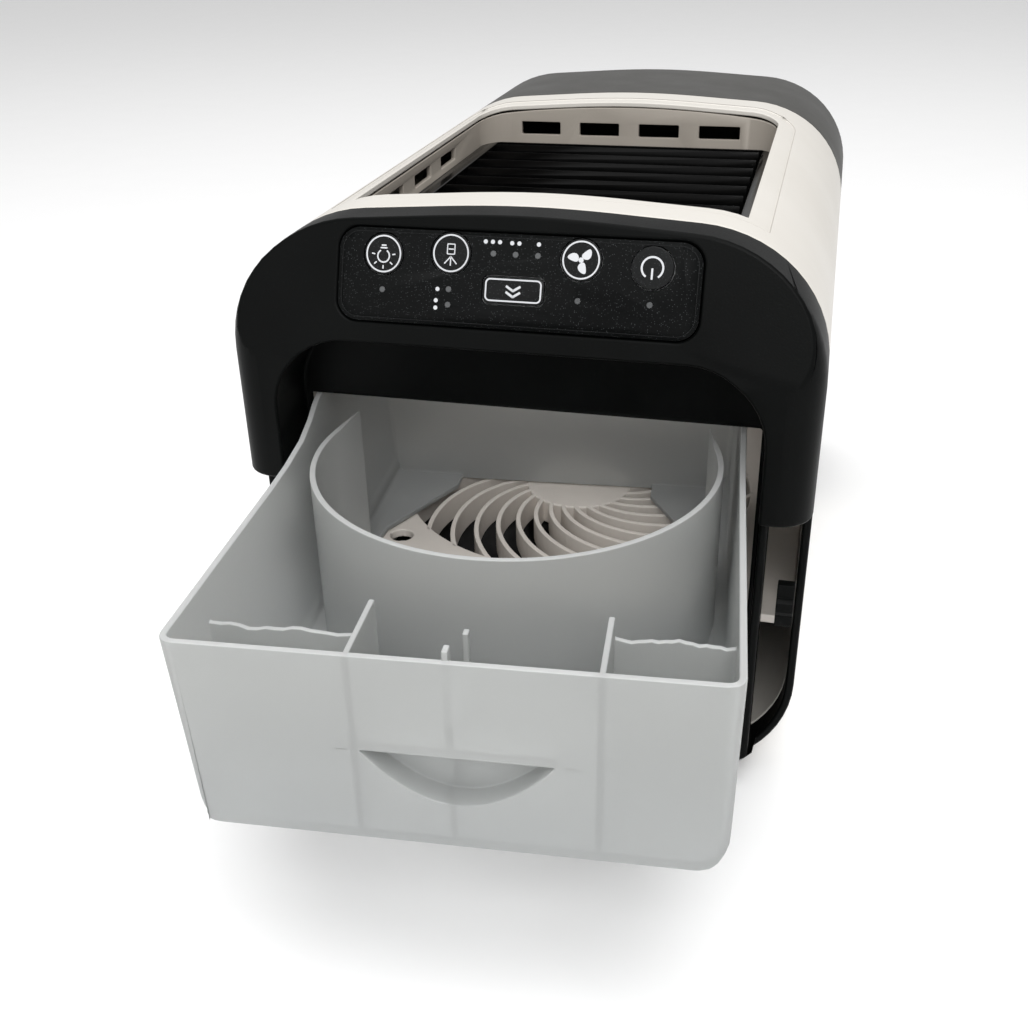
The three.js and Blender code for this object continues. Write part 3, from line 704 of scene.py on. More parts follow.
@dataclass
class Housing:
    """The white tube, the black top cover and the grey base cap."""

    wall: float = 0.0025
    step: float = 0.0006
    step_margin: float = 0.0065
    nose: float = 0.010
    skirt_top: float = 0.101
    skirt_front: float = -0.012
    skirt_step: float = -0.004
    skirt_inset: float = 0.0025
    mouth_half: float = 0.0687
    mouth_low: float = 0.0555
    mouth_high: float = 0.121
    seat_half: float = 0.0705
    seat_top: float = 0.1457
    seat_corner: float = 0.022
    panel_seat: float = 0.0019

    def build_shell(self, finishes: Finishes) -> None:
        """Make the white tube with its outlet and the shallow step round it."""
        front, back = SHELL_LOW.y, SHELL_HIGH.y
        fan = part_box("inlet_grille")
        centre = (fan[0] + fan[1]) / 2
        step = combine(outlet_block(self.step_margin, SECTION.top / 2, SECTION.top + self.nose),
                       [SECTION.block(self.step, front - self.nose, back + self.nose)], Cut.REMOVE)
        tube = combine(SECTION.block(0, front, back),
                       [SECTION.block(self.wall, front - self.nose, back + self.nose),
                        outlet_block(0, SECTION.top - 0.03, SECTION.top + 0.02),
                        rod(centre[:2], fan[1].x + GAP, -0.001, 0.01, sides=72), step], Cut.REMOVE)
        place("white_tube", tube, "main_shell", finishes.shell, Edging(0.0005, 3))

    def build_cover(self, finishes: Finishes) -> None:
        """Make the black top cover with its leaning panel face, lid seat, mouth and skirt."""
        back, front, far = COVER_HIGH.y, COVER_LOW.y, 0.2
        seat_low = self.mouth_low - 0.012
        outer = SECTION.block(0, front, back, front, self.nose)
        slope_cut = turned(block((-far, -far, 0), (far, far, far)), SLOPE.matrix)
        under = turned(block((-far, -far, -far), (far, far, -0.003)), SLOPE.matrix)
        skirt = combine(block((-far, -far, -0.01), (far, self.skirt_step, self.skirt_top)),
                        [SECTION.block(self.skirt_inset, -0.09, 0.001)], Cut.REMOVE)
        seat = combine(self.seat_block(0, -0.06, 0), [block((-far, -far, seat_low), (far, far, far))], Cut.KEEP)
        body = combine(outer, [slope_cut, block((-far, -far, -0.01), (far, self.skirt_front, self.skirt_top)),
                               skirt, seat], Cut.REMOVE)
        hollow = combine(SECTION.block(self.wall, 0.0025, back + 0.005), [under], Cut.KEEP)
        under = turned(block((-far, -far, -far), (far, far, -0.003)), SLOPE.matrix)
        nose_room = combine(combine(SECTION.block(self.wall, -0.014, 0.003), [under], Cut.KEEP),
                            [self.seat_block(0.0025, -0.06, 0.004)], Cut.REMOVE)
        mouth = block((-self.mouth_half, -0.06, self.mouth_low), (self.mouth_half, 0.02, self.mouth_high))
        low, high = self.panel_range()
        recess = SLOPE.panel_block((low.x - GAP, high.x + GAP), (-high.y - GAP, -low.y + GAP), (-self.panel_seat, 0.005),
                                   0.006)
        pocket = SLOPE.panel_block((low.x + 0.004, high.x - 0.004), (0.0016 - high.y, -low.y - 0.0016),
                                   (-0.006, 0.001), 0)
        cover = combine(body, [hollow, nose_room, mouth, recess, pocket], Cut.REMOVE)
        place("black_cover", cover, "top_cover", finishes.cover, Edging(0.0009, 4, 28))

    def seat_block(self, grow: float, start: float, end: float) -> bmesh.types.BMesh:
        """Make the lid seat's outline grown by an amount."""
        return plate((-self.seat_half - grow, -0.06), (self.seat_half + grow, self.seat_top + grow),
                     lambda co: self.seat_corner + grow if co.y > 0 else 0, start, end, Along.Y)

    @staticmethod
    def panel_range() -> tuple[Vector, Vector]:
        """Return the panel's lowest and highest corner in the slope's own axes."""
        low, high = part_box("control_panel")
        lean = SLOPE.lean
        tall = (high.z - low.z - PANEL_THICK * math.sin(lean)) / math.cos(lean)
        return Vector((low.x, -tall)), Vector((high.x, 0))

    def build_cap(self, finishes: Finishes) -> None:
        """Make the grey base cap with its socket opening and screw holes."""
        low, high = CAP_LOW.y, CAP_HIGH.y
        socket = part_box("power_socket")
        holes = [rod(((b[0] + b[1]) / 2).xz, 0.0018, high - 0.006, high + 0.002, Along.Y, 16)
                 for b in (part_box(f"base_screw_{i}") for i in range(1, 5))]
        cap = combine(SECTION.block(0, low, high, high, self.nose),
                      [SECTION.block(self.wall + 0.006, low - 0.002, high - 0.003),
                       SECTION.block(self.wall, low - 0.001, high - 0.009),
                       block((socket[0].x - 0.0005, socket[0].y - 0.0005, -0.001),
                             (socket[1].x + 0.0005, socket[1].y + 0.0005, 0.006)), *holes], Cut.REMOVE)
        place("grey_base_cap", cap, "base_cap", finishes.base, Edging(0.0005, 3, 40))


@dataclass
class ControlPanel:
    """The flecked panel, its five keys and the silver printing on them."""

    key_radius: float = 0.0057
    ring_out: float = 0.0051
    ring_line: float = 0.00042
    print_lift: float = 0.00003
    print_thick: float = 0.00005
    dot: float = 0.00058

    def build(self, finishes: Finishes) -> None:
        """Make the panel, the keys and the printing."""
        self.finishes = finishes
        low, high = Housing.panel_range()
        self.build_panel(low, high)
        names = ("light", "spray", "fan", "power")
        self.keys = {name: self.centre_of(f"button_{name}") for name in names}
        for name, (x, up, out) in self.keys.items():
            self.build_key(name, x, up, out)
        self.build_boost()
        self.build_printed_dots()

    @staticmethod
    def centre_of(node: str) -> tuple[float, float, float]:
        """Return a key's place on the slope and how proud its face is."""
        inverse = SLOPE.matrix.inverted()
        spots = [inverse @ v.co for v in frame["nodes"][node].data.vertices]
        face = max(p.z for p in spots)
        rim = [p for p in spots if p.z > face - 1e-5]
        middle = [(min(p[i] for p in rim) + max(p[i] for p in rim)) / 2 for i in (0, 1)]
        return middle[0], middle[1], face

    def build_panel(self, low: Vector, high: Vector) -> None:
        """Make the panel plate and a fine raised line inside its rim."""
        bm = node_mesh("control_panel")
        place("panel_plate", bm, "control_panel", self.finishes.panel, None)
        inner = 0.0009
        frame_line = combine(
            SLOPE.panel_block((low.x + inner, high.x - inner), (inner, -low.y - inner), (0.00002, 0.00006), 0.0052),
            [SLOPE.panel_block((low.x + 0.0011, high.x - 0.0011), (0.0011, -low.y - 0.0011), (-0.001, 0.001), 0.005)],
            Cut.REMOVE)
        place("panel_outline", frame_line, "control_panel", self.finishes.key, None, ())

    def build_key(self, name: str, x: float, up: float, out: float) -> None:
        """Make one round key and its printed ring and sign."""
        node = f"button_{name}"
        bm = node_mesh(node)
        place(f"{name}_key", bm, node, self.finishes.key, Edging(0.0003, 3))
        signs = {"light": self.bulb_sign, "spray": self.nozzle_sign, "fan": self.blade_sign,
                 "power": self.power_sign}
        parts = signs[name]()
        if name != "power":
            parts.append(self.arc((0, 0), self.ring_out, self.ring_out - self.ring_line, 0, 360))
        self.print_on(f"{name}_key_sign", parts, node, Vector((x, up, out)))

    def build_boost(self) -> None:
        """Make the oblong key with its printed outline and double arrow."""
        node = "button_boost"
        x, up, out = self.centre_of(node)
        place("boost_key", node_mesh(node), node, self.finishes.key, Edging(0.0002, 2))
        low, high = (-0.0079, -0.0031), (0.0079, 0.0031)
        line = Vector((0.00042, 0.00042))
        border = combine(plate(low, high, 0.0014, 0, self.print_thick),
                         [plate(Vector(low) + line, Vector(high) - line, 0.001, -0.001, 0.001)], Cut.REMOVE)
        arrows = [self.stroke((side * 0.0019, tip - 0.0012), (0, tip), 0.00032)
                  for tip in (0.0001, 0.0017) for side in (-1, 1)]
        self.print_on("boost_key_sign", [border, *arrows], node, Vector((x, up, out)))

    def print_on(self, name: str, parts: list[bmesh.types.BMesh], node: str, at: Vector) -> None:
        """Lay printing on a face, turned to read with the cooler on its base.

        Args:
            name: The piece's name.
            parts: The flat shapes, drawn about their own middle.
            node: The node whose body they ride on.
            at: The middle's place on the slope.
        """
        upright = Matrix.Rotation(math.pi, 4, "Z")
        put = SLOPE.matrix @ Matrix.Translation(at + Vector((0, 0, self.print_lift))) @ upright
        place(name, turned(joined(parts), put), node, self.finishes.printing, None, ())

    def arc(self, centre: tuple[float, float], outer: float, inner: float, start: float,
            sweep: float) -> bmesh.types.BMesh:
        """Spin a short line into a flat ring or part of one.

        Args:
            centre: The ring's middle.
            outer: Outer radius.
            inner: Inner radius.
            start: Where it starts, in degrees.
            sweep: How far it goes round, in degrees.

        Returns:
            The ring's mesh.
        """
        bm = bmesh.new()
        turn = Matrix.Rotation(math.radians(start), 3, "Z")
        ends = [bm.verts.new(turn @ Vector((r, 0, 0))) for r in (inner, outer)]
        line = bm.edges.new(ends)
        full = sweep >= 360
        bmesh.ops.spin(bm, geom=[*ends, line], cent=(0, 0, 0), axis=(0, 0, 1), angle=math.radians(sweep),
                       steps=max(8, int(sweep / 7)), use_merge=full, use_duplicate=False)
        bmesh.ops.translate(bm, vec=(*centre, 0), verts=bm.verts)
        return self.thicken(bm)

    def thicken(self, bm: bmesh.types.BMesh) -> bmesh.types.BMesh:
        """Give a flat shape the printing's thickness."""
        close_up(bm)
        grown = bmesh.ops.extrude_face_region(bm, geom=list(bm.faces), use_keep_orig=True)
        top = [item for item in grown["geom"] if isinstance(item, bmesh.types.BMVert)]
        bmesh.ops.translate(bm, vec=(0, 0, self.print_thick), verts=top)
        return close_up(bm)

    def stroke(self, start: tuple[float, float], end: tuple[float, float], half: float) -> bmesh.types.BMesh:
        """Make a straight printed line."""
        start, end = Vector((*start, 0)), Vector((*end, 0))
        along = end - start
        bm = plate((-half * 0.5, -half), (along.length + half * 0.5, half), half * 0.6, 0, self.print_thick,
                   segments=3)
        turn = Matrix.Rotation(math.atan2(along.y, along.x), 4, "Z")
        return turned(bm, Matrix.Translation(start) @ turn)

    def disc(self, centre: tuple[float, float], radius: float) -> bmesh.types.BMesh:
        """Make a printed dot."""
        return rod(centre, radius, 0, self.print_thick, sides=20)

    def bulb_sign(self) -> list[bmesh.types.BMesh]:
        """Draw a lamp: a round bulb, its cap and short rays."""
        rays = [self.stroke((0.0026 * math.cos(a), 0.0006 + 0.0026 * math.sin(a)),
                            (0.0034 * math.cos(a), 0.0006 + 0.0034 * math.sin(a)), 0.00018)
                for a in (math.radians(d) for d in (-10, 40, 90, 140, 190))]
        return [self.arc((0, 0.0006), 0.0019, 0.0015, -60, 300), self.stroke((-0.0009, -0.0016), (0.0009, -0.0016), 0.0002),
                self.stroke((-0.0006, -0.0023), (0.0006, -0.0023), 0.0002), *rays]

    def nozzle_sign(self) -> list[bmesh.types.BMesh]:
        """Draw a spray head: a small box over three fanned rays."""
        box = combine(plate((-0.0012, -0.0026), (0.0012, 0.0004), 0.0003, 0, self.print_thick, segments=3),
                      [plate((-0.0009, -0.0023), (0.0009, 0.0001), 0.0002, -0.001, 0.001, segments=3)], Cut.REMOVE)
        rays = [self.stroke((0, 0.0009), (x, y), 0.00017) for x, y in ((-0.0017, 0.0028), (0, 0.0033), (0.0017, 0.0028))]
        return [box, self.stroke((-0.0007, -0.0011), (0.0007, -0.0011), 0.00017), *rays]

    def blade_sign(self) -> list[bmesh.types.BMesh]:
        """Draw a three-bladed fan."""
        blades = []
        for degrees in (90, 210, 330):
            blade = bmesh.new()
            bmesh.ops.create_circle(blade, cap_ends=True, segments=22, radius=1)
            bmesh.ops.scale(blade, vec=(0.0015, 0.0011, 1), verts=blade.verts)
            for vert in blade.verts:
                vert.co.y += 0.3 * (vert.co.x + 0.0004) ** 2 / 0.0015
            bmesh.ops.translate(blade, vec=(0.0021, 0.0003, 0), verts=blade.verts)
            bmesh.ops.rotate(blade, matrix=Matrix.Rotation(math.radians(degrees), 3, "Z"), verts=blade.verts)
            blades.append(self.thicken(blade))
        return [*blades, self.disc((0, 0), 0.0007)]

    def power_sign(self) -> list[bmesh.types.BMesh]:
        """Draw a standby sign: an open ring and a bar."""
        return [self.arc((0, 0), 0.0031, 0.00258, 125, 290), self.stroke((0, 0.0002), (0, 0.0029), 0.00026)]

    def build_printed_dots(self) -> None:
        """Print the speed and spray dots beside the indicator windows."""
        low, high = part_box("indicator_light_guide")
        middle = (low.x + high.x) / 2
        spots = [(-0.0085, 0.0023), (-0.0065, 0.0023), (-0.0045, 0.0023), (-0.0011, 0.0024), (0.0009, 0.0024),
                 (0.0063, 0.0024), (-0.0214, 0.0157), (-0.0217, 0.0188), (-0.0217, 0.0208)]
        parts = [self.disc((middle + x, -s), self.dot) for x, s in spots]
        put = SLOPE.matrix @ Matrix.Translation((0, 0, self.print_lift))
        place("printed_dots", turned(joined(parts), put), "control_panel", self.finishes.printing, None, ())
        windows = [(-0.0375, 0.0167), (-0.0183, 0.0156), (-0.0183, 0.0198), (-0.0062, 0.0054), (0, 0.0054),
                   (0.0062, 0.0054), (0.0179, 0.0167), (0.0373, 0.0166)]
        lenses = [rod((middle + x, -s), 0.00082, -0.0004, -0.00002, sides=20) for x, s in windows]
        place("window_lenses", turned(joined(lenses), SLOPE.matrix), "control_panel", self.finishes.lens,
              Edging(0.0001, 2), ())


@dataclass
class GuardAndFan:
    """The ribbed guard under the air passage and the fan below it."""

    hub: float = 0.0195
    opening: float = 0.0634
    ribs: int = 26
    rib_width: float = 0.0019
    curl: float = 1.05
    steps: int = 18
    plate_thick: float = 0.003
    screw_half: float = 0.0525
    blades: int = 7
    blade_tip: float = 0.056
    blade_root: float = 0.0184

    def build(self, finishes: Finishes) -> None:
        """Make the guard and the fan wheel."""
        low, high = GUARD_LOW, GUARD_HIGH
        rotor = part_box("fan_rotor")
        middle = (rotor[0] + rotor[1]) / 2
        self.centre = Vector((0, round(middle.y, 4)))
        plate_low = high.z - self.plate_thick
        flat = plate((low.x, low.y), (high.x, high.y), 0, plate_low, high.z)
        collar = rod(self.centre, self.opening + 0.002, low.z, high.z - 0.001, sides=96)
        holes = [rod(self.centre + Vector((sx, sy)) * self.screw_half, 0.0039, 0.04, 0.07, sides=28)
                 for sx in (-1, 1) for sy in (-1, 1)]
        base = combine(combine(flat, [collar], Cut.ADD),
                       [rod(self.centre, self.opening, 0.04, 0.07, sides=96), *holes], Cut.REMOVE)
        place("guard_plate", base, "fan_guard", finishes.liner, Edging(0.0006, 3))
        ribs = joined([self.rib(i, low.z, high.z) for i in range(self.ribs)])
        place("guard_ribs", ribs, "fan_guard", finishes.liner, Edging(0.0004, 2, 50), ())
        hub = rod(self.centre, self.hub, low.z, high.z, sides=72)
        place("guard_hub", hub, "fan_guard", finishes.liner, Edging(0.0008, 3), ())
        self.build_wheel(finishes, rotor)

    def rib(self, index: int, low: float, high: float) -> bmesh.types.BMesh:
        """Extrude one curved rib outwards from the hub, step by step."""
        bm = bmesh.new()
        turn = index / self.ribs * 2 * math.pi
        inner, outer = self.hub - 0.001, self.opening + 0.0012
        half = self.rib_width / 2
        corners = [bm.verts.new((inner, y, z)) for y, z in ((-half, low), (half, low), (half, high), (-half, high))]
        end = bm.faces.new(corners)
        for step in range(1, self.steps + 1):
            share = step / self.steps
            grown = bmesh.ops.extrude_face_region(bm, geom=[end], use_keep_orig=step == 1)
            end = next(item for item in grown["geom"] if isinstance(item, bmesh.types.BMFace))
            radius = inner + (outer - inner) * share
            previous = inner + (outer - inner) * (step - 1) / self.steps
            lead = self.lead(share, inner, outer) - self.lead((step - 1) / self.steps, inner, outer)
            spot = Matrix.Rotation(self.curl * (step - 1) / self.steps, 4, "Z") @ Vector((previous, 0, 0))
            target = Matrix.Rotation(self.curl * share, 4, "Z") @ Vector((radius, 0, 0))
            bmesh.ops.translate(bm, vec=target - spot, verts=end.verts)
            bmesh.ops.rotate(bm, cent=target, matrix=Matrix.Rotation(lead, 3, "Z"), verts=end.verts)
        bmesh.ops.rotate(bm, matrix=Matrix.Rotation(turn, 3, "Z"), verts=bm.verts)
        bmesh.ops.translate(bm, vec=(*self.centre, 0), verts=bm.verts)
        return close_up(bm)

    def lead(self, share: float, inner: float, outer: float) -> float:
        """Return the rib's heading at a share of its way out."""
        radius = inner + (outer - inner) * share
        return self.curl * share + math.atan2(radius * self.curl, outer - inner)

    def build_wheel(self, finishes: Finishes, box: tuple[Vector, Vector]) -> None:
        """Make the fan wheel: a domed hub with twisted, cambered blades."""
        low, high = box
        hub_radius = self.blade_root + 0.001
        hub = rod(self.centre, hub_radius, high.z - 0.019, high.z, sides=72)
        hub = combine(hub, [rod(self.centre, 0.0155, low.z, high.z - 0.002, sides=48)], Cut.REMOVE)
        round_edges(hub, 0.0015, 4, lambda e: all(v.co.z > high.z - WELD for v in e.verts))
        shaft = rod(self.centre, 0.0012, low.z, high.z - 0.001, sides=24)
        blades = [self.blade(i, low.z, high.z) for i in range(self.blades)]
        place("fan_wheel", joined([hub, shaft, *blades]), "fan_rotor", finishes.fan, Edging(0.0002, 2, 45))

    def blade(self, index: int, low: float, high: float) -> bmesh.types.BMesh:
        """Bend a grid into one twisted blade and give it thickness."""
        bm = bmesh.new()
        bmesh.ops.create_grid(bm, x_segments=12, y_segments=10, size=0.5)
        turn = index / self.blades * 2 * math.pi
        floor = low + 0.0062
        for vert in bm.verts:
            out, round_ = vert.co.x + 0.5, vert.co.y
            radius = self.blade_root + (self.blade_tip - self.blade_root) * out
            angle = round_ * 0.62 + 0.18 * out + turn
            rise = 0.0065 - round_ * 0.013 * (1 - 0.25 * out) + 0.002 * (0.25 - round_ ** 2)
            vert.co = Vector((radius * math.cos(angle), radius * math.sin(angle), floor + rise))
        bmesh.ops.translate(bm, vec=(*self.centre, 0), verts=bm.verts)
        bmesh.ops.solidify(bm, geom=list(bm.faces), thickness=0.0014)
        return close_up(bm)


@dataclass
class WaterTank:
    """The frosted drawer: an open box with a round air passage, ribs and a pull."""

    turn: float = math.radians(5)
    shift: float = -0.0015
    half: float = 0.066
    front: float = -0.1155
    back: float = 0.078
    floor: float = 0.0582
    rim: float = 0.111
    wall: float = 0.0018
    ring: float = 0.060
    ring_y: float = -0.011
    taper_left: float = 0.0034
    taper_right: float = 0.0008
    low_round: float = 0.009
    side_round: float = 0.004
    shoulder_top: float = 0.1232
    pull_x: float = 0.0025
    pull_half: float = 0.0228
    pull_top: float = 0.0847
    pull_drop: float = 0.0137
    pull_depth: float = 0.008

    def build(self, finishes: Finishes) -> None:
        """Make the tank drawn straight, then turn it to hang askew as its node does."""
        outer = self.drawer(0)
        inner = self.drawer(self.wall)
        box = combine(outer, [inner], Cut.REMOVE)
        parts = [self.passage(0, self.floor, self.rim), *self.shoulders(), *self.ribs(),
                 self.half_moon(0.0016, self.front + 0.0008, self.front + self.pull_depth)]
        solid = combine(box, parts, Cut.ADD)
        solid = combine(solid, [self.passage(-self.wall, self.floor - 0.01, self.rim + 0.03),
                                self.half_moon(0, self.front - 0.002, self.front + self.pull_depth - 0.0016)],
                        Cut.REMOVE)
        self.draw_in(solid)
        askew = Matrix.Translation((self.shift, 0, 0)) @ Matrix.Rotation(self.turn, 4, "Z")
        place("frosted_tank", turned(solid, askew), "water_tank", finishes.tank, Edging(0.0004, 2, 38))
        lip = [self.stroke_line(side) for side in (-1, 1)]
        place("pull_end_marks", turned(joined(lip), askew), "water_tank", finishes.tank,
              Edging(0.0001, 1), ())

    def draw_in(self, bm: bmesh.types.BMesh) -> None:
        """Draw the side walls in a little towards the floor, as the mould's draft does."""
        for vert in bm.verts:
            drop = max(0.0, (self.rim - vert.co.z) / (self.rim - self.floor))
            outside = max(0.0, min(1.0, (abs(vert.co.x) - self.ring - 0.0005) / 0.003))
            taper = self.taper_left if vert.co.x < 0 else -self.taper_right
            vert.co.x += taper * drop * outside

    def stroke_line(self, side: int) -> bmesh.types.BMesh:
        """Make the short raised mark at one end of the pull."""
        start = self.pull_x + side * (self.pull_half + 0.0016)
        end = start + side * 0.004
        return block((min(start, end), self.front - 0.0, self.pull_top - 0.0002),
                     (max(start, end), self.front + 0.0006, self.pull_top + 0.0004))

    def drawer(self, inset: float) -> bmesh.types.BMesh:
        """Make the tank's outer or inner block, rounded below.

        Args:
            inset: How far inside the outer skin the block lies.

        Returns:
            The block's mesh.
        """
        reach = 0.02
        top = self.rim if inset == 0 else self.rim + reach
        low = self.floor + inset
        half, front, back = self.half - inset, self.front + inset, self.back - inset
        section = plate((-half, low), (half, top), lambda co: self.low_round - inset if co.y < self.rim - reach else 0,
                        front - reach, back + reach, Along.Y, 7)
        plan = plate((-half, front), (half, back), self.side_round - inset, low - reach, top + reach, segments=5)
        return combine(section, [plan], Cut.KEEP)

    def passage(self, grow: float, low: float, high: float) -> bmesh.types.BMesh:
        """Make the air passage's outline: half a circle in front, narrowing to a flat wall behind."""
        radius = self.ring + grow
        tilt = 0.21
        bm = bmesh.new()
        start = bm.verts.new((-radius * math.cos(tilt), self.ring_y + radius * math.sin(tilt), low))
        bmesh.ops.spin(bm, geom=[start], cent=(0, self.ring_y, low), axis=(0, 0, 1), angle=math.pi + 2 * tilt,
                       steps=72, use_merge=False, use_duplicate=False)
        rest = [(0.052, 0.033), (0.034, 0.068), (0.034, self.back), (-0.034, self.back), (-0.034, 0.068),
                (-0.052, 0.033)]
        bm.verts.ensure_lookup_table()
        last = max(bm.verts, key=lambda v: v.co.x + v.co.y * 0.5 if v.co.y > self.ring_y else -1)
        first = start
        for x, y in rest:
            side = math.copysign(grow, x)
            more = bm.verts.new((x + side, y + (grow if y >= self.back else grow / 2), low))
            bm.edges.new((last, more))
            last = more
        bm.edges.new((last, first))
        bmesh.ops.contextual_create(bm, geom=list(bm.edges))
        grown = bmesh.ops.extrude_face_region(bm, geom=list(bm.faces), use_keep_orig=True)
        top = [item for item in grown["geom"] if isinstance(item, bmesh.types.BMVert)]
        bmesh.ops.translate(bm, vec=(0, 0, high - low), verts=top)
        return close_up(bm)

    def shoulders(self) -> list[bmesh.types.BMesh]:
        """Make the two side walls' shoulders, which swing up behind the mouth's upper edge."""
        made = []
        for x in (-self.half, self.half - self.wall):
            bm = bmesh.new()
            high, low = self.shoulder_top, self.rim - 0.002
            curve = [(-0.04, self.rim), (-0.026, self.rim + 0.0004), (-0.012, self.rim + 0.0018),
                     (-0.003, 0.1156), (0.003, 0.1186), (0.0066, 0.1198), (0.0096, 0.1204), (0.0126, 0.1222),
                     (0.017, high), (self.back - 0.004, high), (self.back, high - 0.004), (self.back, low),
                     (-0.04, low)]
            bm.faces.new([bm.verts.new((x, y, z)) for y, z in curve])
            grown = bmesh.ops.extrude_face_region(bm, geom=list(bm.faces), use_keep_orig=True)
            side = [item for item in grown["geom"] if isinstance(item, bmesh.types.BMVert)]
            bmesh.ops.translate(bm, vec=(self.wall, 0, 0), verts=side)
            made.append(close_up(bm))
        return made

    def ribs(self) -> list[bmesh.types.BMesh]:
        """Make the upright ribs behind the front panel and the baffles with their uneven tops."""
        end, left, middle, right, thick = -0.091, -0.0218, 0.001, 0.0354, 0.0015
        low = self.floor + 0.001

        def rib(x: float, y0: float, y1: float, top: float) -> bmesh.types.BMesh:
            return block((x - thick / 2, y0, low), (x + thick / 2, y1, top))

        made = [rib(left, self.front + 0.001, end, 0.1104), rib(right, self.front + 0.001, end, 0.1104),
                rib(middle, self.front + 0.001, end, 0.092), rib(middle, self.front + 0.001, self.front + 0.004, 0.1135),
                rib(middle, end - 0.0025, end, 0.104)]
        for x0, x1, top in ((-self.half + 0.001, left, 0.101), (right, self.half - 0.001, 0.1055)):
            made.append(combine(self.baffle(x0, x1, end - thick, end, low, top), [self.drawer(0)], Cut.KEEP))
        return made

    @staticmethod
    def baffle(x0: float, x1: float, y0: float, y1: float, low: float, top: float) -> bmesh.types.BMesh:
        """Make one cross baffle whose upper edge is left uneven by the moulding flash."""
        bm = block((x0, y0, low), (x1, y1, top))
        across = [e for e in bm.edges if abs(e.verts[0].co.x - e.verts[1].co.x) > 0.01]
        bmesh.ops.subdivide_edges(bm, edges=across, cuts=18, use_grid_fill=True)
        for vert in bm.verts:
            if vert.co.z > top - WELD:
                along = (vert.co.x - x0) * 1000
                ragged = math.sin(along * 0.31 + x0 * 90) + 0.5 * math.sin(along * 0.83 + 1) + 0.3 * math.sin(along * 2.1)
                vert.co.z += 0.00045 * ragged - 0.0005
        return close_up(bm)

    def half_moon(self, grow: float, start: float, end: float) -> bmesh.types.BMesh:
        """Make the pull's half-moon, drawn out along Y."""
        bm = bmesh.new()
        steps = 20
        left, top = self.pull_x - self.pull_half - grow, self.pull_top + grow
        width = 2 * (self.pull_half + grow)
        rim = []
        for i in range(steps + 1):
            share = i / steps
            rim.append(bm.verts.new((left + width * share, start,
                                     top - 4 * (self.pull_drop + 2 * grow) * share * (1 - share))))
        bm.faces.new(rim)
        grown = bmesh.ops.extrude_face_region(bm, geom=list(bm.faces), use_keep_orig=True)
        back = [item for item in grown["geom"] if isinstance(item, bmesh.types.BMVert)]
        bmesh.ops.translate(bm, vec=(0, end - start, 0), verts=back)
        return close_up(bm)


@dataclass(frozen=True)
class Refit:
    """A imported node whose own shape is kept, with broken edges and its real finish."""

    node: str
    name: str
    slot: str
    finish: str
    width: float = 0.0003

    def build(self, finishes: Finishes) -> None:
        """Make the piece from a merged copy of the node."""
        place(self.name, node_mesh(self.node), self.node, getattr(finishes, self.finish),
              Edging(self.width, 2))


REFITS = [
    *(Refit(f"rubber_foot_{i}", f"foot_pad_{i}", "rubber", "rubber", 0.0005) for i in range(1, 5)),
    *(Refit(f"base_screw_{i}", f"cap_screw_{i}", "steel", "steel", 0.0003) for i in range(1, 5)),
    *(Refit(f"fan_screw_{i}", f"guard_screw_{i}", "steel", "steel", 0.0003) for i in range(1, 5)),
    Refit("indicator_light_guide", "light_guide", "lens", "diffuser", 0.0001),
    Refit("button_board", "key_board", "board", "board", 0.0001),
    Refit("touch_dome_sheet", "dome_sheet", "lens", "diffuser", 0.0001),
    Refit("outlet_well", "air_outlet_well", "liner", "well", 0.0004),
    Refit("louvre_frame", "louvre_surround", "louvre", "louvre", 0.0004),
    Refit("louvre_link_bar", "louvre_link", "louvre", "louvre", 0.0002),
    *(Refit(f"louvre_vane_{i}", f"vane_blade_{i}", "louvre", "louvre", 0.00015) for i in range(1, 11)),
    Refit("tank_stop_wall", "stop_wall", "liner", "liner", 0.0004),
    Refit("fan_frame", "fan_housing", "fan", "fan", 0.0004),
    Refit("fan_motor", "motor_windings", "copper", "copper", 0.0003),
    Refit("fan_bearing", "bearing_sleeve", "steel", "steel", 0.0002),
    Refit("inlet_grille", "rear_inlet_grille", "shell", "shell", 0.0003),
    Refit("main_board", "control_board", "board", "board", 0.0001),
    Refit("power_socket", "inlet_socket", "steel", "steel", 0.0002),
    *(Refit(f"mist_holder_{s}", f"mist_seal_{s}", "rubber", "rubber", 0.0003) for s in ("left", "right")),
    *(Refit(f"mist_disc_{s}", f"mist_plate_{s}", "steel", "steel", 0.0001) for s in ("left", "right")),
    Refit("light_board", "lamp_board", "board", "board", 0.0001),
    Refit("light_diffuser", "lamp_cover", "lens", "diffuser", 0.0003),
    *(Refit(f"lid_hinge_{s}", f"lid_knuckle_{s}", "cover", "cover", 0.0003) for s in ("left", "right")),
]


# ------------------------------------------------------------------ camera and light


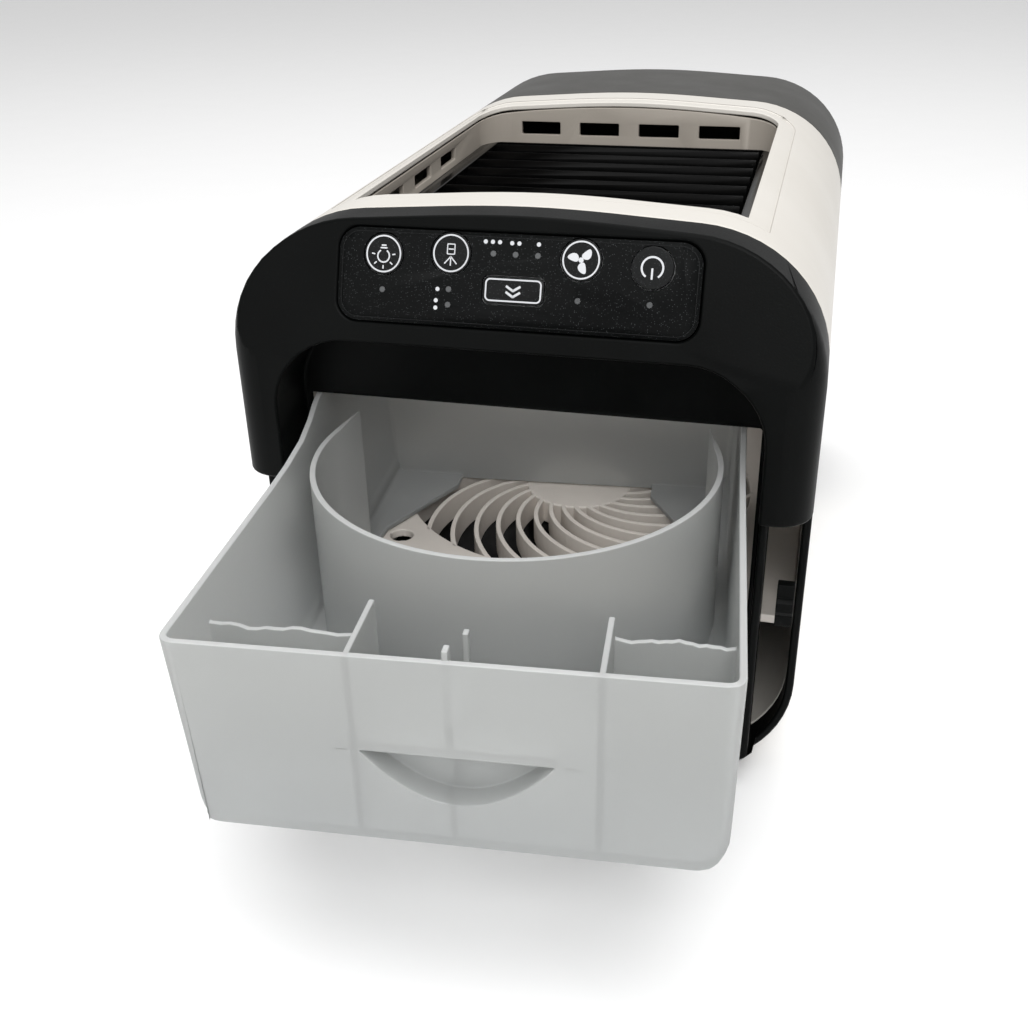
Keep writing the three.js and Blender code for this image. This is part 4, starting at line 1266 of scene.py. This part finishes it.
@dataclass(frozen=True)
class Studio:
    """A pale floor, soft light and the camera."""

    eye: Vector = Vector((0.08025, -0.31689, 0.26305))
    yaw: float = math.radians(14.99)
    pitch: float = math.radians(28.42)
    roll: float = math.radians(1.32)
    lens: float = 42.007

    def build(self) -> None:
        """Make the camera, the floor and the lights."""
        self.build_camera()
        floor_mesh = bmesh.new()
        bmesh.ops.create_grid(floor_mesh, x_segments=1, y_segments=1, size=12)
        floor = as_object("studio_floor", floor_mesh)
        floor.data.materials.append(MouldedPlastic("pale_floor", (0.97, 0.97, 0.97), (0.96, 0.96, 0.96), 0.8, 0.05,
                                                   grain=300, depth=0.02, dust=0.0).build())
        world = bpy.data.worlds.new("soft_room")
        bpy.context.scene.world = world
        world.use_nodes = True
        sky = world.node_tree.nodes["Background"]
        sky.inputs["Color"].default_value = (1, 1, 1, 1)
        sky.inputs["Strength"].default_value = 0.62
        self.build_light("key", (0.35, -0.5, 1.6), 1.0, 12)
        self.build_light("top", (-0.2, 0.6, 1.7), 1.0, 6)
        self.build_light("fill", (-0.9, -1.4, 0.7), 1.2, 4)
        self.build_light("front", (0.25, -0.95, 0.95), 0.5, 6)
        bpy.context.scene.view_settings.view_transform = "Standard"

    def build_camera(self) -> None:
        """Make the camera from its heading, dip and roll."""
        ahead = Vector((-math.sin(self.yaw) * math.cos(self.pitch), math.cos(self.yaw) * math.cos(self.pitch),
                        -math.sin(self.pitch)))
        right = Vector((math.cos(self.yaw), math.sin(self.yaw), 0))
        down = ahead.cross(right)
        across = right * math.cos(self.roll) + down * math.sin(self.roll)
        below = down * math.cos(self.roll) - right * math.sin(self.roll)
        turn = Matrix((across, -below, -ahead)).transposed()
        data = bpy.data.cameras.new("view")
        data.lens, data.sensor_width = self.lens, 36
        data.clip_start, data.clip_end = 0.01, 50
        camera = bpy.data.objects.new("view", data)
        camera.matrix_world = Matrix.Translation(self.eye) @ turn.to_4x4()
        bpy.context.scene.collection.objects.link(camera)
        bpy.context.scene.camera = camera

    @staticmethod
    def build_light(name: str, place_at: tuple[float, float, float], size: float, power: float) -> None:
        """Hang a square soft light that looks at the cooler."""
        data = bpy.data.lights.new(name, "AREA")
        data.shape, data.size, data.energy = "SQUARE", size, power
        light = bpy.data.objects.new(name, data)
        light.location = place_at
        light.rotation_euler = (Vector((0, 0.05, 0.09)) - Vector(place_at)).to_track_quat("-Z", "Y").to_euler()
        bpy.context.scene.collection.objects.link(light)


def main() -> None:
    """Build the cooler and its studio."""
    finishes = Finishes()
    housing = Housing()
    housing.build_shell(finishes)
    housing.build_cover(finishes)
    housing.build_cap(finishes)
    ControlPanel().build(finishes)
    GuardAndFan().build(finishes)
    WaterTank().build(finishes)
    for refit in REFITS:
        refit.build(finishes)
    Studio().build()


if __name__ == "__main__":
    main()
